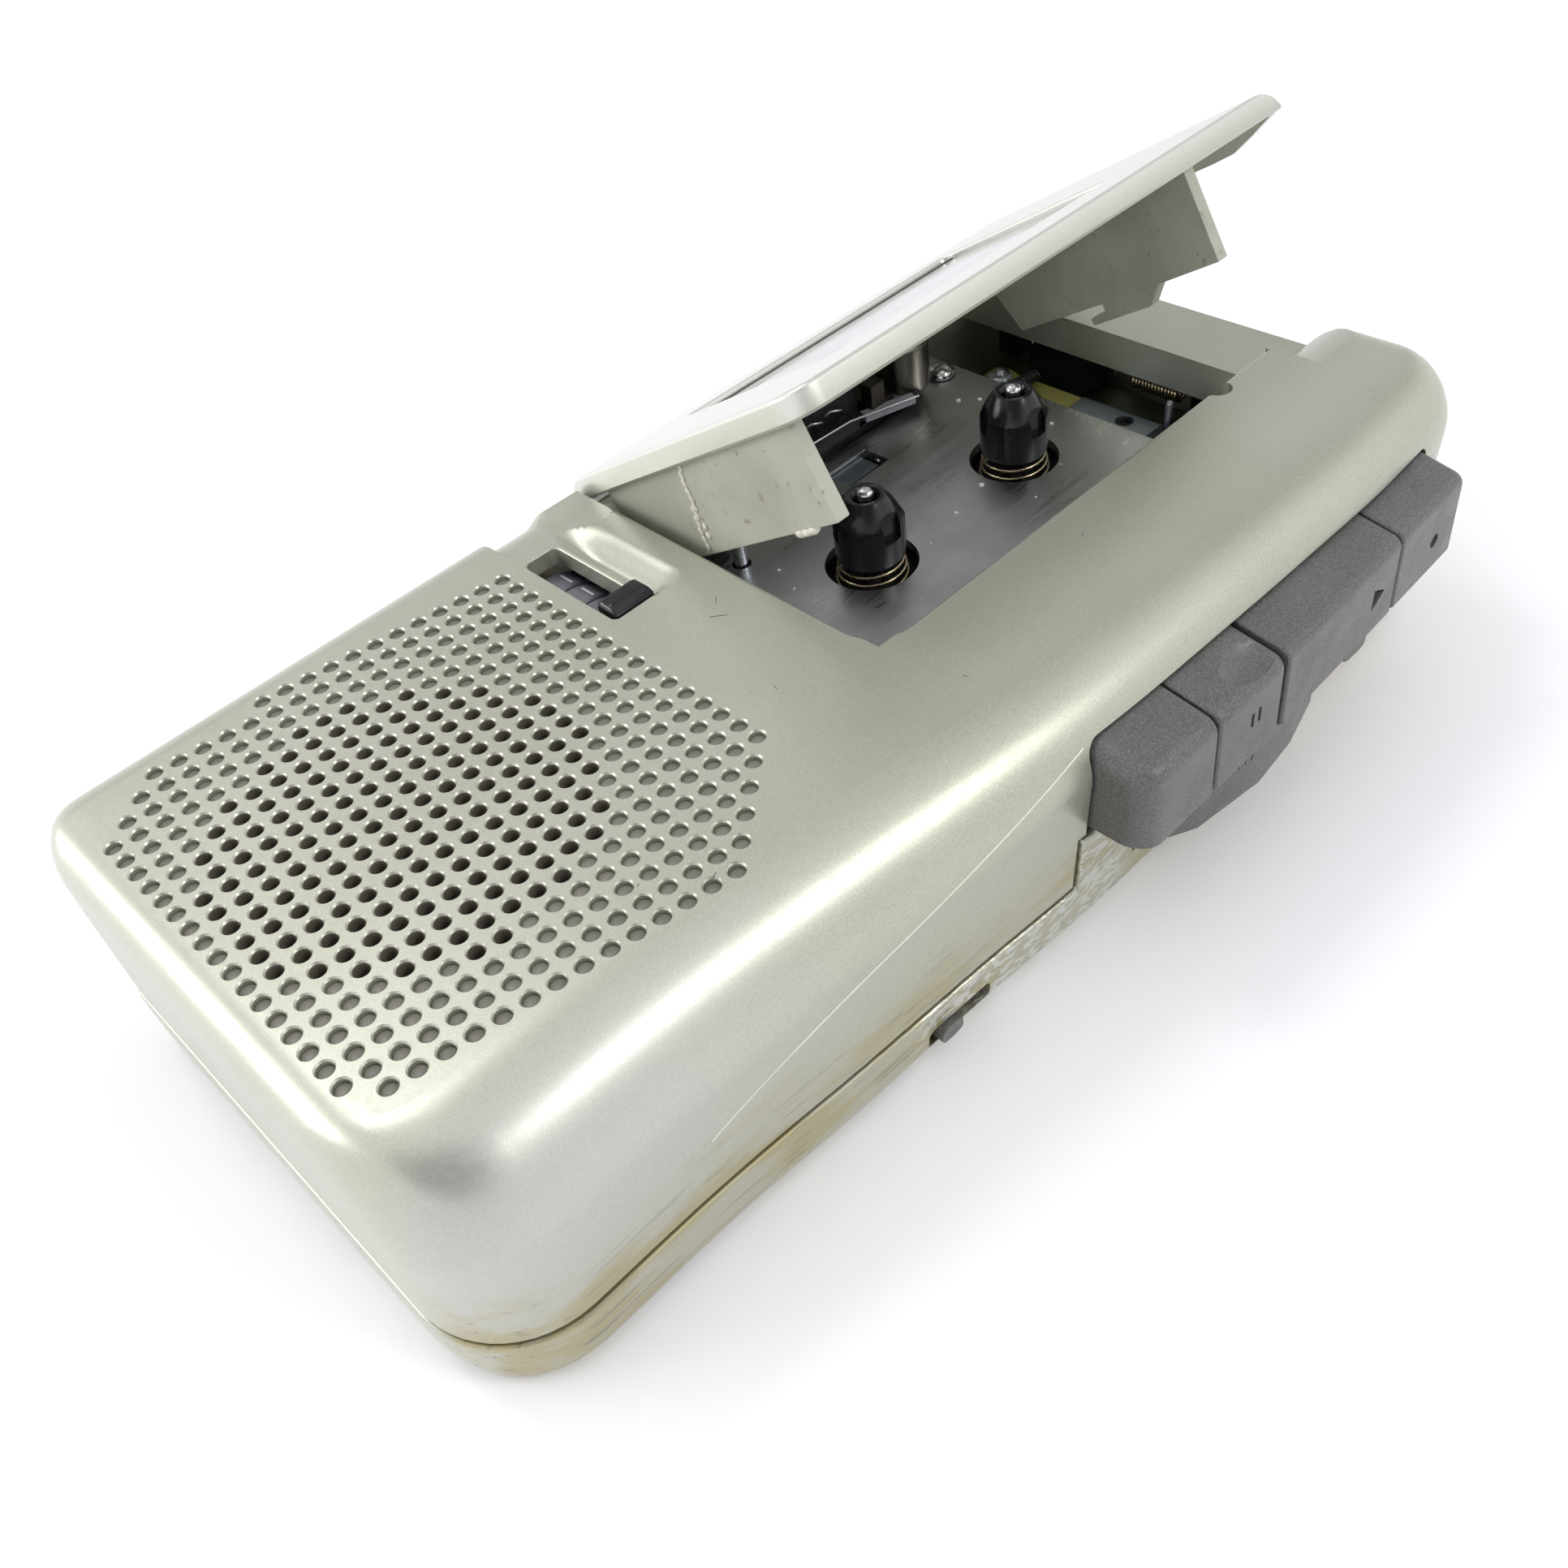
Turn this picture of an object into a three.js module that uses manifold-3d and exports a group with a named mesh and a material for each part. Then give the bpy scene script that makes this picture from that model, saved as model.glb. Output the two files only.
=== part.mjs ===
// Hand-held micro-cassette voice recorder, lying on its back with the cassette lid open.
// Millimetres, +Z up. Origin: middle of the footprint, on the surface it lies on.
// +X runs from the loudspeaker end to the far end, +Y towards the lid's hinge, -Y towards the keys.

import * as THREE from 'three';
import { mergeVertices } from 'three/addons/utils/BufferGeometryUtils.js';
import Module from 'manifold-3d';

const wasm = await Module();
wasm.setup();

// ---------------------------------------------------------------- driving dimensions
const GAP = 0.3; // running gap between neighbours
const WALL = 1.8; // case wall
const CASE = { halfLength: 61.4, back: 33, height: 27, seam: 7 };
const FRONT = {
  speakerEnd: -24.8, flare: 3.3, flareFrom: -45, flareTo: 8, tuck: 0.9, tuckFrom: 38, tuckTo: 60,
};
const EDGE = {
  topSpeaker: 9, topFar: 4.6, topBack: 4.2, bottom: 3, cornerFront: 9, cornerBack: 5, endTop: 3.4,
};

const WELL = { x0: -4, x1: 51.8, y0: -9.3, y1: 30.5, wall: 1.5, wallBottom: 17.2 };
const SHELF = { top: 23.5, thickness: 2, lipBottom: 19.1, backTop: 23.2 };
const PLATE = { x0: -3.4, x1: 46, y0: -13.6, y1: 30.2, top: 16.85, thickness: 1 };
const HUB = { y: 8.8, xs: { takeup: 13.5, supply: 35.4 }, r: 3.45, holeR: 4.65, shaftR: 0.85 };

const LID = { x0: -3.3, x1: 61, front: -8.7, hingeY: 30.9, hingeZ: 24.9, openDeg: 31.6 };
const LID_SHAPE = { skin: 1.3, rim: 2.3, rimWidth: 1.6, sideRim: 0.8, corner: 3, knuckle: 1.2 };
const HINGE_LUG = { x0: 55, x1: 57.5 };
const WINDOW_PANE = { x0: 7, x1: 45, y0: -32, y1: -7.5 }; // y from the hinge line
const CASSETTE_LENGTH = 50.2;
const WING = { x0: -2.4, thickness: 1.5, bottom: -8.9, setBack: 3.4, reach: 27, footDrop: 2.3 };

const GRILLE = { x: -40.77, y: 7.2, pitch: 2.08, r: 0.8, lean: 0.33, radius: 15.4 };
const SPEAKER = { x: -40.8, y: 7.2, r: 17.6, top: 24.6 };
const WINDOW = { x0: -15, x1: -11.4, y0: 14.6, y1: 24.4 };
const COUNTER = { x: -13.2, z: 20.15, r: 3.8, wheelWidth: 2.8, pitch: 3.1, firstY: 15.3 };

const KEYS = { bottom: 14, top: 23.2, front: -33, frontFar: -31.9, taperFrom: 19, inner: -22 };
const KEY_PROFILE = [[-27.4, 23.2], [-31.9, 22.5], [-32.7, 21.8], [-33, 20.6]]; // [y, z] over the outer edge
const STEP = { x0: -0.8, x1: 50, y: -23.4, top: 13.2 };
const KEY_ROW = [
  ['stop_eject_key', 0.1, 9.35],
  ['pause_key', 9.65, 19.15],
  ['play_key', 19.45, 38.15],
  ['record_key', 38.45, 49],
];
const CELL = { r: 7, x0: -56.6, x1: -6.4, z: 9, ys: [5.4, 20] };
const CAPSTAN = { x: 5.6, y: 19.2, r: 0.75, top: 24 };
const FLYWHEEL = { r: 9.5, z0: 10.4, z1: 12.6 };
const MOTOR = { x: 33, y: -5.6, r: 8.8, z0: 2.3, z1: 10.2, pulleyR: 2.2 };
const TURNTABLE = { r: 8.5, z0: 13, z1: 14.4 };
const IDLER = { x: 24.45, y: 15.6, r: 4 };
const VOLUME = { x: 56.2, y: 17, r: 5, z0: 14.2, z1: 16.6 };
const BOARD = { z0: 10.6, z1: 12 };
const DOOR = { x1: -6, y0: -3, y1: 28.6, thickness: 1.8 };

// ---------------------------------------------------------------- finishes
const finish = (color, roughness, metalness) => ({ color, roughness, metalness });
const CHAMPAGNE = finish(0xb5b5a6, 0.38, 0.75);
const LINER = finish(0xa9a79a, 0.55, 0.2);
const KEY_GREY = finish(0x58565a, 0.6, 0);
const BLACK = finish(0x17171a, 0.35, 0);
const STEEL = finish(0x9aa0a8, 0.35, 0.9);
const ZINC = finish(0x8b979c, 0.45, 0.8);
const SPRING_WIRE = finish(0xb8a67c, 0.3, 0.9);
const FERRITE = finish(0x3a3a3d, 0.6, 0.3);
const FIBRE = finish(0x8a8446, 0.7, 0);
const RUBBER = finish(0x1c1c1c, 0.9, 0);
const CLEAR = finish(0xdfe4e4, 0.08, 0);
const CONE_PAPER = finish(0x2c2b29, 0.9, 0);
const COPPER_JACKET = finish(0x9c6b35, 0.4, 0.6);

// ---------------------------------------------------------------- solids
function solidOf(geometry) {
  const bare = geometry.index ? geometry.toNonIndexed() : geometry.clone();
  bare.deleteAttribute('normal');
  bare.deleteAttribute('uv');
  const merged = mergeVertices(bare, 1e-4);
  const solid = new wasm.Manifold(new wasm.Mesh({
    numProp: 3,
    vertProperties: new Float32Array(merged.attributes.position.array),
    triVerts: new Uint32Array(merged.index.array),
  }));
  return solid;
}

function geometryOf(solid) {
  const mesh = solid.getMesh();
  const geometry = new THREE.BufferGeometry();
  geometry.setAttribute('position', new THREE.BufferAttribute(mesh.vertProperties, 3));
  geometry.setIndex(new THREE.BufferAttribute(mesh.triVerts, 1));
  geometry.computeVertexNormals();
  return geometry;
}

const union = (...solids) => solids.reduce((a, b) => a.add(b));
const cut = (solid, ...tools) => tools.reduce((a, b) => a.subtract(b), solid);

function block(x0, x1, y0, y1, z0, z1) {
  const geometry = new THREE.BoxGeometry(x1 - x0, y1 - y0, z1 - z0);
  geometry.translate((x0 + x1) / 2, (y0 + y1) / 2, (z0 + z1) / 2);
  return solidOf(geometry);
}

// A round bar along 'x', 'y' or 'z', from a to b on that axis; (u, v) are the other two coordinates in order.
function bar(axis, a, b, u, v, r, sides = 12) {
  const geometry = new THREE.CylinderGeometry(r, r, b - a, sides);
  if (axis === 'z') geometry.rotateX(Math.PI / 2);
  if (axis === 'x') geometry.rotateZ(-Math.PI / 2);
  const middle = (a + b) / 2;
  const place = { x: [middle, u, v], y: [u, middle, v], z: [u, v, middle] }[axis];
  geometry.translate(...place);
  return solidOf(geometry);
}

// A turned piece on a vertical axis. The profile is [radius, height] pairs.
function turned(x, y, profile, sides = 20) {
  const geometry = new THREE.LatheGeometry(profile.map(([r, z]) => new THREE.Vector2(r, z)), sides);
  geometry.rotateX(Math.PI / 2);
  geometry.translate(x, y, 0);
  return solidOf(geometry);
}

function ring(x, y, rIn, rOut, z0, z1, sides = 20) {
  return turned(x, y, [[rIn, z0], [rOut, z0], [rOut, z1], [rIn, z1], [rIn, z0]], sides);
}

function roundedOutline(x0, x1, y0, y1, r) {
  const shape = new THREE.Shape();
  shape.moveTo(x0 + r, y0);
  shape.lineTo(x1 - r, y0);
  shape.absarc(x1 - r, y0 + r, r, -Math.PI / 2, 0);
  shape.lineTo(x1, y1 - r);
  shape.absarc(x1 - r, y1 - r, r, 0, Math.PI / 2);
  shape.lineTo(x0 + r, y1);
  shape.absarc(x0 + r, y1 - r, r, Math.PI / 2, Math.PI);
  shape.lineTo(x0, y0 + r);
  shape.absarc(x0 + r, y0 + r, r, Math.PI, 1.5 * Math.PI);
  return shape;
}

function slab(shape, z0, z1, curveSegments = 4) {
  const geometry = new THREE.ExtrudeGeometry(shape, { depth: z1 - z0, bevelEnabled: false, curveSegments });
  geometry.translate(0, 0, z0);
  return solidOf(geometry);
}

const polygon = (points) => new THREE.Shape(points.map(([a, b]) => new THREE.Vector2(a, b)));

// A coil of round wire on a vertical axis.
function coil(x, y, z0, z1, r0, r1, wireR, turns) {
  const steps = Math.round(turns * 12);
  const points = Array.from({ length: steps + 1 }, (_, i) => {
    const t = i / steps;
    const angle = t * turns * 2 * Math.PI;
    const r = r0 + (r1 - r0) * t;
    return new THREE.Vector3(x + r * Math.cos(angle), y + r * Math.sin(angle), z0 + (z1 - z0) * t);
  });
  const wire = new THREE.Shape();
  wire.absarc(0, 0, wireR, 0, 2 * Math.PI);
  return solidOf(new THREE.ExtrudeGeometry(wire, {
    steps, curveSegments: 3, bevelEnabled: false, extrudePath: new THREE.CatmullRomCurve3(points),
  }));
}

// ---------------------------------------------------------------- case form
const smooth = (a, b, x) => THREE.MathUtils.smoothstep(x, a, b);
const roundOff = (s, r) => (s < r ? r - Math.sqrt(r * r - (r - s) * (r - s)) : 0);
const frontAt = (x) => FRONT.speakerEnd - FRONT.flare * smooth(FRONT.flareFrom, FRONT.flareTo, x)
  + FRONT.tuck * smooth(FRONT.tuckFrom, FRONT.tuckTo, x);
const undercutAt = (x) => 0.3 + smooth(-30, -8, x);
const topRadiusAt = (x) => EDGE.topSpeaker + (EDGE.topFar - EDGE.topSpeaker) * smooth(-40, 45, x);

// One closed cross-section of the case at x, drawn `inset` inside the outer surface.
function caseSection(x, inset) {
  const s = CASE.halfLength - inset - Math.abs(x);
  const radius = (r) => Math.max(r - inset, 0.8);
  const plan = (r) => roundOff(s, radius(r));
  const top = CASE.height - inset - plan(EDGE.endTop);
  const bottom = inset + plan(EDGE.bottom);
  const front = frontAt(x) + inset + plan(EDGE.cornerFront);
  const foot = front + undercutAt(x);
  const back = CASE.back - inset - plan(EDGE.cornerBack);
  const low = radius(EDGE.bottom);
  const path = new THREE.Path();
  path.moveTo(back - low, bottom);
  path.lineTo(foot + low, bottom);
  path.absarc(foot + low, bottom + low, low, 1.5 * Math.PI, Math.PI, true);
  const brow = radius(topRadiusAt(x));
  path.absarc(front + brow, top - brow, brow, Math.PI, Math.PI / 2, true);
  const rear = radius(EDGE.topBack);
  path.absarc(back - rear, top - rear, rear, Math.PI / 2, 0, true);
  path.absarc(back - low, bottom + low, low, 0, -Math.PI / 2, true);
  return path.getPoints(4).slice(0, -1);
}

function caseForm(inset) {
  const half = CASE.halfLength - inset;
  const r = Math.max(EDGE.cornerFront - inset, 1);
  const fromEnd = [0, 0.12, 0.45, 1.05, 1.9, 3.1, 4.6, 6.6, r];
  const middle = [-38, -26, -14, -2, 10, 24, 40];
  const xs = [...fromEnd.map((s) => s - half), ...middle, ...fromEnd.map((s) => half - s).reverse()];
  const rings = xs.map((x) => caseSection(x, inset).map((p) => new THREE.Vector3(x, p.x, p.y)));
  const count = rings[0].length;
  const index = [];
  for (let i = 0; i + 1 < rings.length; i += 1) {
    for (let k = 0; k < count; k += 1) {
      const [a, b] = [i * count + k, i * count + ((k + 1) % count)];
      index.push(a, a + count, b, b, a + count, b + count);
    }
  }
  const last = (rings.length - 1) * count;
  for (let k = 1; k + 1 < count; k += 1) {
    index.push(0, k, k + 1, last, last + k + 1, last + k);
  }
  const geometry = new THREE.BufferGeometry().setFromPoints(rings.flat());
  geometry.setIndex(index);
  return solidOf(geometry);
}

// Everything below the line where the two shells meet: it steps up under the keys.
function belowSeam(shift) {
  const z = CASE.seam + shift;
  const step = block(STEP.x0 - shift, STEP.x1 + shift, -40, STEP.y, -1, STEP.top + shift);
  return union(block(-70, 70, -40, 40, -1, z), step);
}

// ---------------------------------------------------------------- case shells
function grilleHoles() {
  const holes = [];
  const reach = Math.ceil(GRILLE.radius / GRILLE.pitch);
  for (let column = -reach; column <= reach; column += 1) {
    for (let row = -reach - 1; row <= reach + 1; row += 1) {
      const dx = column * GRILLE.pitch;
      const dy = row * GRILLE.pitch - column * GRILLE.lean;
      if (Math.hypot(dx, dy) < GRILLE.radius) {
        holes.push(bar('z', CASE.height - 4, CASE.height + 1, GRILLE.x + dx, GRILLE.y + dy, GRILLE.r, 4));
      }
    }
  }
  return holes;
}

function upperShell() {
  const top = CASE.height;
  const shelfBottom = SHELF.top - SHELF.thickness;
  const skin = cut(caseForm(0), caseForm(WALL), belowSeam(GAP / 2));
  const wellOuter = block(WELL.x0 - WELL.wall, WELL.x1 + WELL.wall, WELL.y0 - WELL.wall,
    WELL.y1 + WELL.wall, WELL.wallBottom, top - WALL + 0.5);
  const wellInner = block(WELL.x0, WELL.x1, WELL.y0, WELL.y1, 0, top + 1);
  const shelf = block(WELL.x1, CASE.halfLength - 1, WELL.y0 - WELL.wall, CASE.back - 1.2,
    shelfBottom, SHELF.top);
  const shelfFront = block(WELL.x1, CASE.halfLength - 1, WELL.y0 - WELL.wall, WELL.y0, shelfBottom, top - 1);
  const lugR = LID_SHAPE.knuckle - 0.05;
  const lug = union(bar('x', HINGE_LUG.x0, HINGE_LUG.x1, LID.hingeY, LID.hingeZ, lugR),
    block(HINGE_LUG.x0, HINGE_LUG.x1, LID.hingeY - 1.1, LID.hingeY + 1.1, shelfBottom, LID.hingeZ));
  const pinHole = bar('x', WELL.x0 - 2.5, CASE.halfLength, LID.hingeY, LID.hingeZ, 0.75, 8);
  let shell = union(skin, wellOuter.intersect(caseForm(0.3)), shelf.intersect(caseForm(0.3)),
    shelfFront.intersect(caseForm(0.3)));
  shell = cut(shell,
    wellInner,
    block(WELL.x1 - 1, WELL.x1 + WELL.wall + 1, WELL.y0, WELL.y1, 0, SHELF.lipBottom),
    block(WELL.x0, 70, WELL.y0, 40, SHELF.backTop, top + 1),
    block(WELL.x1 - 0.1, 70, WELL.y0, 40, SHELF.top, top + 1),
    bar('z', SHELF.backTop, top + 1, 43, WELL.y0, 1.3, 10));
  shell = cut(union(shell, lug), pinHole);
  const window = block(WINDOW.x0, WINDOW.x1, WINDOW.y0 - 1, WINDOW.y1, top - 5, top + 1);
  const resetSlot = block(WINDOW.x0, WINDOW.x1 + 1.7, 11.3, WINDOW.y0, top - 5, top + 1);
  const keySlot = block(KEY_ROW[0][1] - GAP, KEY_ROW[3][2] + GAP, -40, -21,
    KEYS.bottom - 0.5, KEYS.top + GAP);
  shell = cut(shell, window, resetSlot, keySlot, ...farEndCuts());
  return cut(shell, ...grilleHoles());
}

// What opens through the far end wall: two jacks, volume wheel, lamp and microphone slots.
function farEndCuts() {
  const [x0, x1] = [CASE.halfLength - 5, CASE.halfLength + 1];
  return [
    bar('x', x0, x1, -11, 15.2, 2.9, 12),
    bar('x', x0, x1, -3, 15.2, 2.9, 12),
    block(55, x1, 11.6, 22.4, VOLUME.z0 - 0.5, VOLUME.z1 + 0.5),
    bar('x', x0, x1, 27.2, 14, 1.7, 10),
    ...[3.2, 4.7, 6.2].map((y) => block(x0, x1, y, y + 0.8, 15.6, 20.4)),
  ];
}

function lowerShell() {
  const post = (x, y, r = 2.4) => bar('z', 1, PLATE.top - PLATE.thickness - GAP, x, y, r, 10);
  let shell = cut(caseForm(0).intersect(belowSeam(-GAP / 2)), caseForm(WALL));
  const posts = union(post(-1, -11), post(43.6, 26), post(43.2, -12.5), post(-4.4, 29, 2));
  const bosses = SCREWS.map(([x, y]) => bar('z', 1, 6.6, x, y, 2.8, 12));
  const bayWall = block(-59.8, -4.6, -2.6, -1.8, 1, 6.6);
  shell = union(shell, posts, bayWall, ...bosses);
  return cut(shell,
    block(-70, DOOR.x1, DOOR.y0, DOOR.y1, -1, DOOR.thickness + GAP),
    block(7, 35.2, -40, -21, 5, 14),
    block(37.3, 44.7, -40, -22, 5.6, 9.6),
    block(-18.9, -10.3, -40, -21, 1.9, 4.7),
    ...SCREWS.map(([x, y]) => bar('z', -1, 2.2, x, y, 1.9, 12)));
}

const SCREWS = [[-54, -13], [54, -15]];

function batteryDoor() {
  const plate = block(-CASE.halfLength, DOOR.x1 - GAP, DOOR.y0 + GAP, DOOR.y1 - GAP, 0, DOOR.thickness);
  const grips = [0, 1, 2, 3, 4].map((i) => block(-16 + 2 * i, -15 + 2 * i, 6, 19, -1, 0.5));
  return cut(plate.intersect(caseForm(0)), ...grips);
}

// ---------------------------------------------------------------- lid, drawn closed about its hinge line
function lidPieces() {
  const place = (solid) => solid.translate([0, -LID.hingeY, -LID.hingeZ]);
  const top = CASE.height - LID.hingeZ;
  const front = LID.front - LID.hingeY;
  const under = top - LID_SHAPE.rim;
  const outline = roundedOutline(LID.x0, 70, LID.front, 40, LID_SHAPE.corner);
  const blank = place(slab(outline, CASE.height - LID_SHAPE.rim, CASE.height + 1).intersect(caseForm(0)));
  const hollow = block(LID.x0 + LID_SHAPE.sideRim, LID.x1 - LID_SHAPE.rimWidth, front + LID_SHAPE.rimWidth,
    -1.6, under - 1, top - LID_SHAPE.skin);
  const window = block(WINDOW_PANE.x0, WINDOW_PANE.x1, WINDOW_PANE.y0, WINDOW_PANE.y1, -4, 4);
  const knuckle = bar('x', LID.x0, HINGE_LUG.x0 - GAP, 0, 0, LID_SHAPE.knuckle, 12);
  const lugRoom = block(HINGE_LUG.x0 - GAP, HINGE_LUG.x1 + GAP, -2, 5, -4, LID_SHAPE.knuckle + 0.15);
  const pinHole = bar('x', LID.x0 - 2, LID.x1 + 2, 0, 0, 0.75, 8);
  const lid = cut(union(blank, knuckle), hollow, window, lugRoom, pinHole);
  const pane = block(WINDOW_PANE.x0 + GAP, WINDOW_PANE.x1 - GAP, WINDOW_PANE.y0 + GAP,
    WINDOW_PANE.y1 - GAP, top - 1.3, top - 0.5);

  const wingTop = top - LID_SHAPE.skin - 0.1;
  const [y0, y1] = [front + WING.setBack, front + WING.setBack + WING.reach];
  const wing = (x0, lugX, lowEdge) => {
    const blade = polygon([[y0, wingTop], ...lowEdge, [y1, WING.bottom + 5], [y1, wingTop]]);
    const geometry = new THREE.ExtrudeGeometry(blade, { depth: WING.thickness, bevelEnabled: false });
    geometry.rotateX(Math.PI / 2);
    geometry.rotateZ(Math.PI / 2);
    geometry.translate(x0, 0, 0);
    const lug = block(lugX, lugX + 0.7, y0 + 5, y0 + 9, WING.bottom, WING.bottom + 1.2);
    return union(solidOf(geometry), lug);
  };
  const right = WING.x0 + WING.thickness + CASSETTE_LENGTH + 0.2;
  const foot = WING.bottom - WING.footDrop;
  const wingLeft = wing(WING.x0, WING.x0 + WING.thickness - 0.2,
    [[y0 + 0.2, WING.bottom], [y1 - 4, WING.bottom]]);
  const wingRight = wing(right, right - 0.5, [[y0 + 0.2, WING.bottom - 0.4], [y0 + 8, WING.bottom - 0.4],
    [y0 + 9, foot], [y0 + 19.5, foot], [y1, WING.bottom]]);
  const pin = bar('x', LID.x0 - 2.8, HINGE_LUG.x1, 0, 0, 0.45, 8);
  return { lid, pane, wingLeft, wingRight, pin };
}

// ---------------------------------------------------------------- keys and switches on the front side
function key(x0, x1, rounded) {
  const taper = (x) => Math.max(x - KEYS.taperFrom, 0) / (KEY_ROW[3][2] - KEYS.taperFrom);
  const faceAt = (x) => KEYS.front + (KEYS.frontFar - KEYS.front) * taper(x);
  const corner = rounded ? 4 : 0.4;
  const outline = new THREE.Shape();
  outline.moveTo(x1, KEYS.inner);
  outline.lineTo(x0, KEYS.inner);
  outline.lineTo(x0, faceAt(x0) + corner);
  outline.absarc(x0 + corner, faceAt(x0) + corner, corner, Math.PI, 1.5 * Math.PI);
  outline.lineTo(x1, faceAt(x1));
  const profile = polygon([[KEYS.inner, KEYS.bottom], [KEYS.inner, KEYS.top], ...KEY_PROFILE,
    [KEYS.front, KEYS.bottom]]);
  const rail = new THREE.ExtrudeGeometry(profile, { depth: 60, bevelEnabled: false });
  rail.rotateX(Math.PI / 2);
  rail.rotateZ(Math.PI / 2);
  rail.translate(-6, 0, 0);
  const cap = slab(outline, KEYS.bottom, KEYS.top).intersect(solidOf(rail));
  const middle = (x0 + x1) / 2;
  const stem = block(middle - 2, middle + 2, KEYS.inner - 1, -17, 17.3, 20.3);
  return union(cap, stem);
}

function cueReviewSlider() {
  const wedge = polygon([[10, -24.2], [10, -28.4], [12.5, -29.8], [26, -29.8], [32, -27.8], [32, -24.2]]);
  const ribs = [0, 1, 2, 3, 4].map((i) => block(12.6 + 2 * i, 13.5 + 2 * i, -33, -29.2, 4, 14));
  return cut(slab(wedge, 5.4, 12.9), ...ribs);
}

function slideKnob(x0, x1, y0, z0, z1) {
  const middle = (x0 + x1) / 2;
  const tab = block(x0 + 0.6, x1 - 0.6, y0, y0 + 3, z0, z1);
  return union(tab, block(middle - 1.6, middle + 1.6, y0 + 2.9, -20.5, z0 + 0.3, z1 - 0.3));
}

// ---------------------------------------------------------------- tape transport
function chassisPlate() {
  const z0 = PLATE.top - PLATE.thickness;
  const plate = block(PLATE.x0, PLATE.x1, PLATE.y0, PLATE.y1, z0, PLATE.top);
  return cut(plate,
    ...Object.values(HUB.xs).map((x) => bar('z', z0 - 1, PLATE.top + 1, x, HUB.y, HUB.holeR, 20)),
    block(PLATE.x0 - 1, 0, -7, 22.5, z0 - 1, PLATE.top + 1),
    block(21.6, 27.6, 19.4, 22.8, z0 - 1, PLATE.top + 1),
    block(22, 36, 24.8, 26.2, z0 - 1, PLATE.top + 1),
    bar('z', z0 - 1, PLATE.top + 1, CAPSTAN.x, CAPSTAN.y, 1.8, 12),
    ...PLATE_SCREWS.map(([x, y]) => bar('z', z0 - 1, PLATE.top + 1, x, y, 1, 8)));
}

const PLATE_SCREWS = [[43.6, 26]];

function screw(x, y, under, length, headR = 1.5) {
  return turned(x, y, [[0, under - length], [0.6, under - length + 0.5], [0.6, under], [headR, under],
    [headR, under + 0.5], [headR * 0.6, under + 0.9], [0, under + 1]], 12);
}

function hub(x) {
  const profile = [[1.15, 17.9], [HUB.r, 17.9], [HUB.r, 22.2], [2.9, 23.2], [1.75, 24.7], [1.15, 24.7],
    [1.15, 17.9]];
  const flats = [0, 1, 2].map((i) => {
    const geometry = new THREE.BoxGeometry(1.1, 1.4, 4.2);
    geometry.translate(HUB.r - 0.1, 0, 22.9);
    geometry.rotateZ((i * 2 * Math.PI) / 3 + 0.5);
    geometry.translate(x, HUB.y, 0);
    return solidOf(geometry);
  });
  return cut(turned(x, HUB.y, profile, 24), ...flats);
}

function flywheel() {
  const [thin, wide] = [CAPSTAN.r, FLYWHEEL.r];
  return turned(CAPSTAN.x, CAPSTAN.y, [[0, 9.2], [thin, 9.2], [thin, FLYWHEEL.z0], [wide, FLYWHEEL.z0],
    [wide, FLYWHEEL.z1], [thin, FLYWHEEL.z1], [thin, CAPSTAN.top - 0.3], [0, CAPSTAN.top]], 24);
}

function driveBelt() {
  const [dx, dy] = [MOTOR.x - CAPSTAN.x, MOTOR.y - CAPSTAN.y];
  const reach = Math.hypot(dx, dy);
  const loop = (offset) => {
    const [big, small] = [FLYWHEEL.r + offset, MOTOR.pulleyR + offset];
    const lean = Math.acos((big - small) / reach);
    const shape = new THREE.Shape();
    shape.absarc(0, 0, big, lean, 2 * Math.PI - lean);
    shape.absarc(reach, 0, small, 2 * Math.PI - lean, 2 * Math.PI + lean);
    return shape;
  };
  const belt = cut(slab(loop(1.1), 11, 12, 10), slab(loop(0.25), 10, 13, 10));
  const heading = THREE.MathUtils.radToDeg(Math.atan2(dy, dx));
  return belt.rotate([0, 0, heading]).translate([CAPSTAN.x, CAPSTAN.y, 0]);
}

function recordHead() {
  const face = new THREE.Shape();
  face.moveTo(35.6, 29.6);
  face.lineTo(35.6, 26.6);
  face.absarc(38.4, 26.6, 2.8, Math.PI, 2 * Math.PI);
  face.lineTo(41.2, 29.6);
  return slab(face, 18.2, 23.6, 6);
}

function pinchArm() {
  const spine = block(3.4, 31, 28.9, 29.9, 18.2, 23);
  const boss = block(23, 31, 26.8, 29.4, 18.2, 22.6);
  const lugs = union(block(3.4, 8.4, 24.4, 29.2, 18.2, 18.7), block(3.4, 8.4, 24.4, 29.2, 22.5, 23));
  return union(spine, boss, lugs, bar('z', 18.4, 22.8, 5.9, 25.6, 0.45, 8));
}

function speakerFrame() {
  const { x, y, r, top } = SPEAKER;
  return turned(x, y, [[8.2, top - 5.4], [8.9, top - 5.4], [15.2, top - 1.2], [r, top - 1.2], [r, top],
    [15.6, top], [15.6, top - 0.6], [8.2, top - 4.6], [8.2, top - 5.4]], 28);
}

function speakerCone() {
  const { x, y, top } = SPEAKER;
  return turned(x, y, [[0, top - 2.4], [3.6, top - 3.4], [13.4, top - 0.8], [15.2, top - 0.4],
    [15.2, top - 0.1], [13.4, top - 0.3], [3.6, top - 2.9], [0, top - 1.9]], 28);
}

function jack(y) {
  const body = union(block(53.7, 59.2, y - 2.8, y + 2.8, 12.4, 18), bar('x', 59, 61.1, y, 15.2, 2.5, 12));
  return cut(body, bar('x', 54.6, 62, y, 15.2, 1.8, 12));
}

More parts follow.
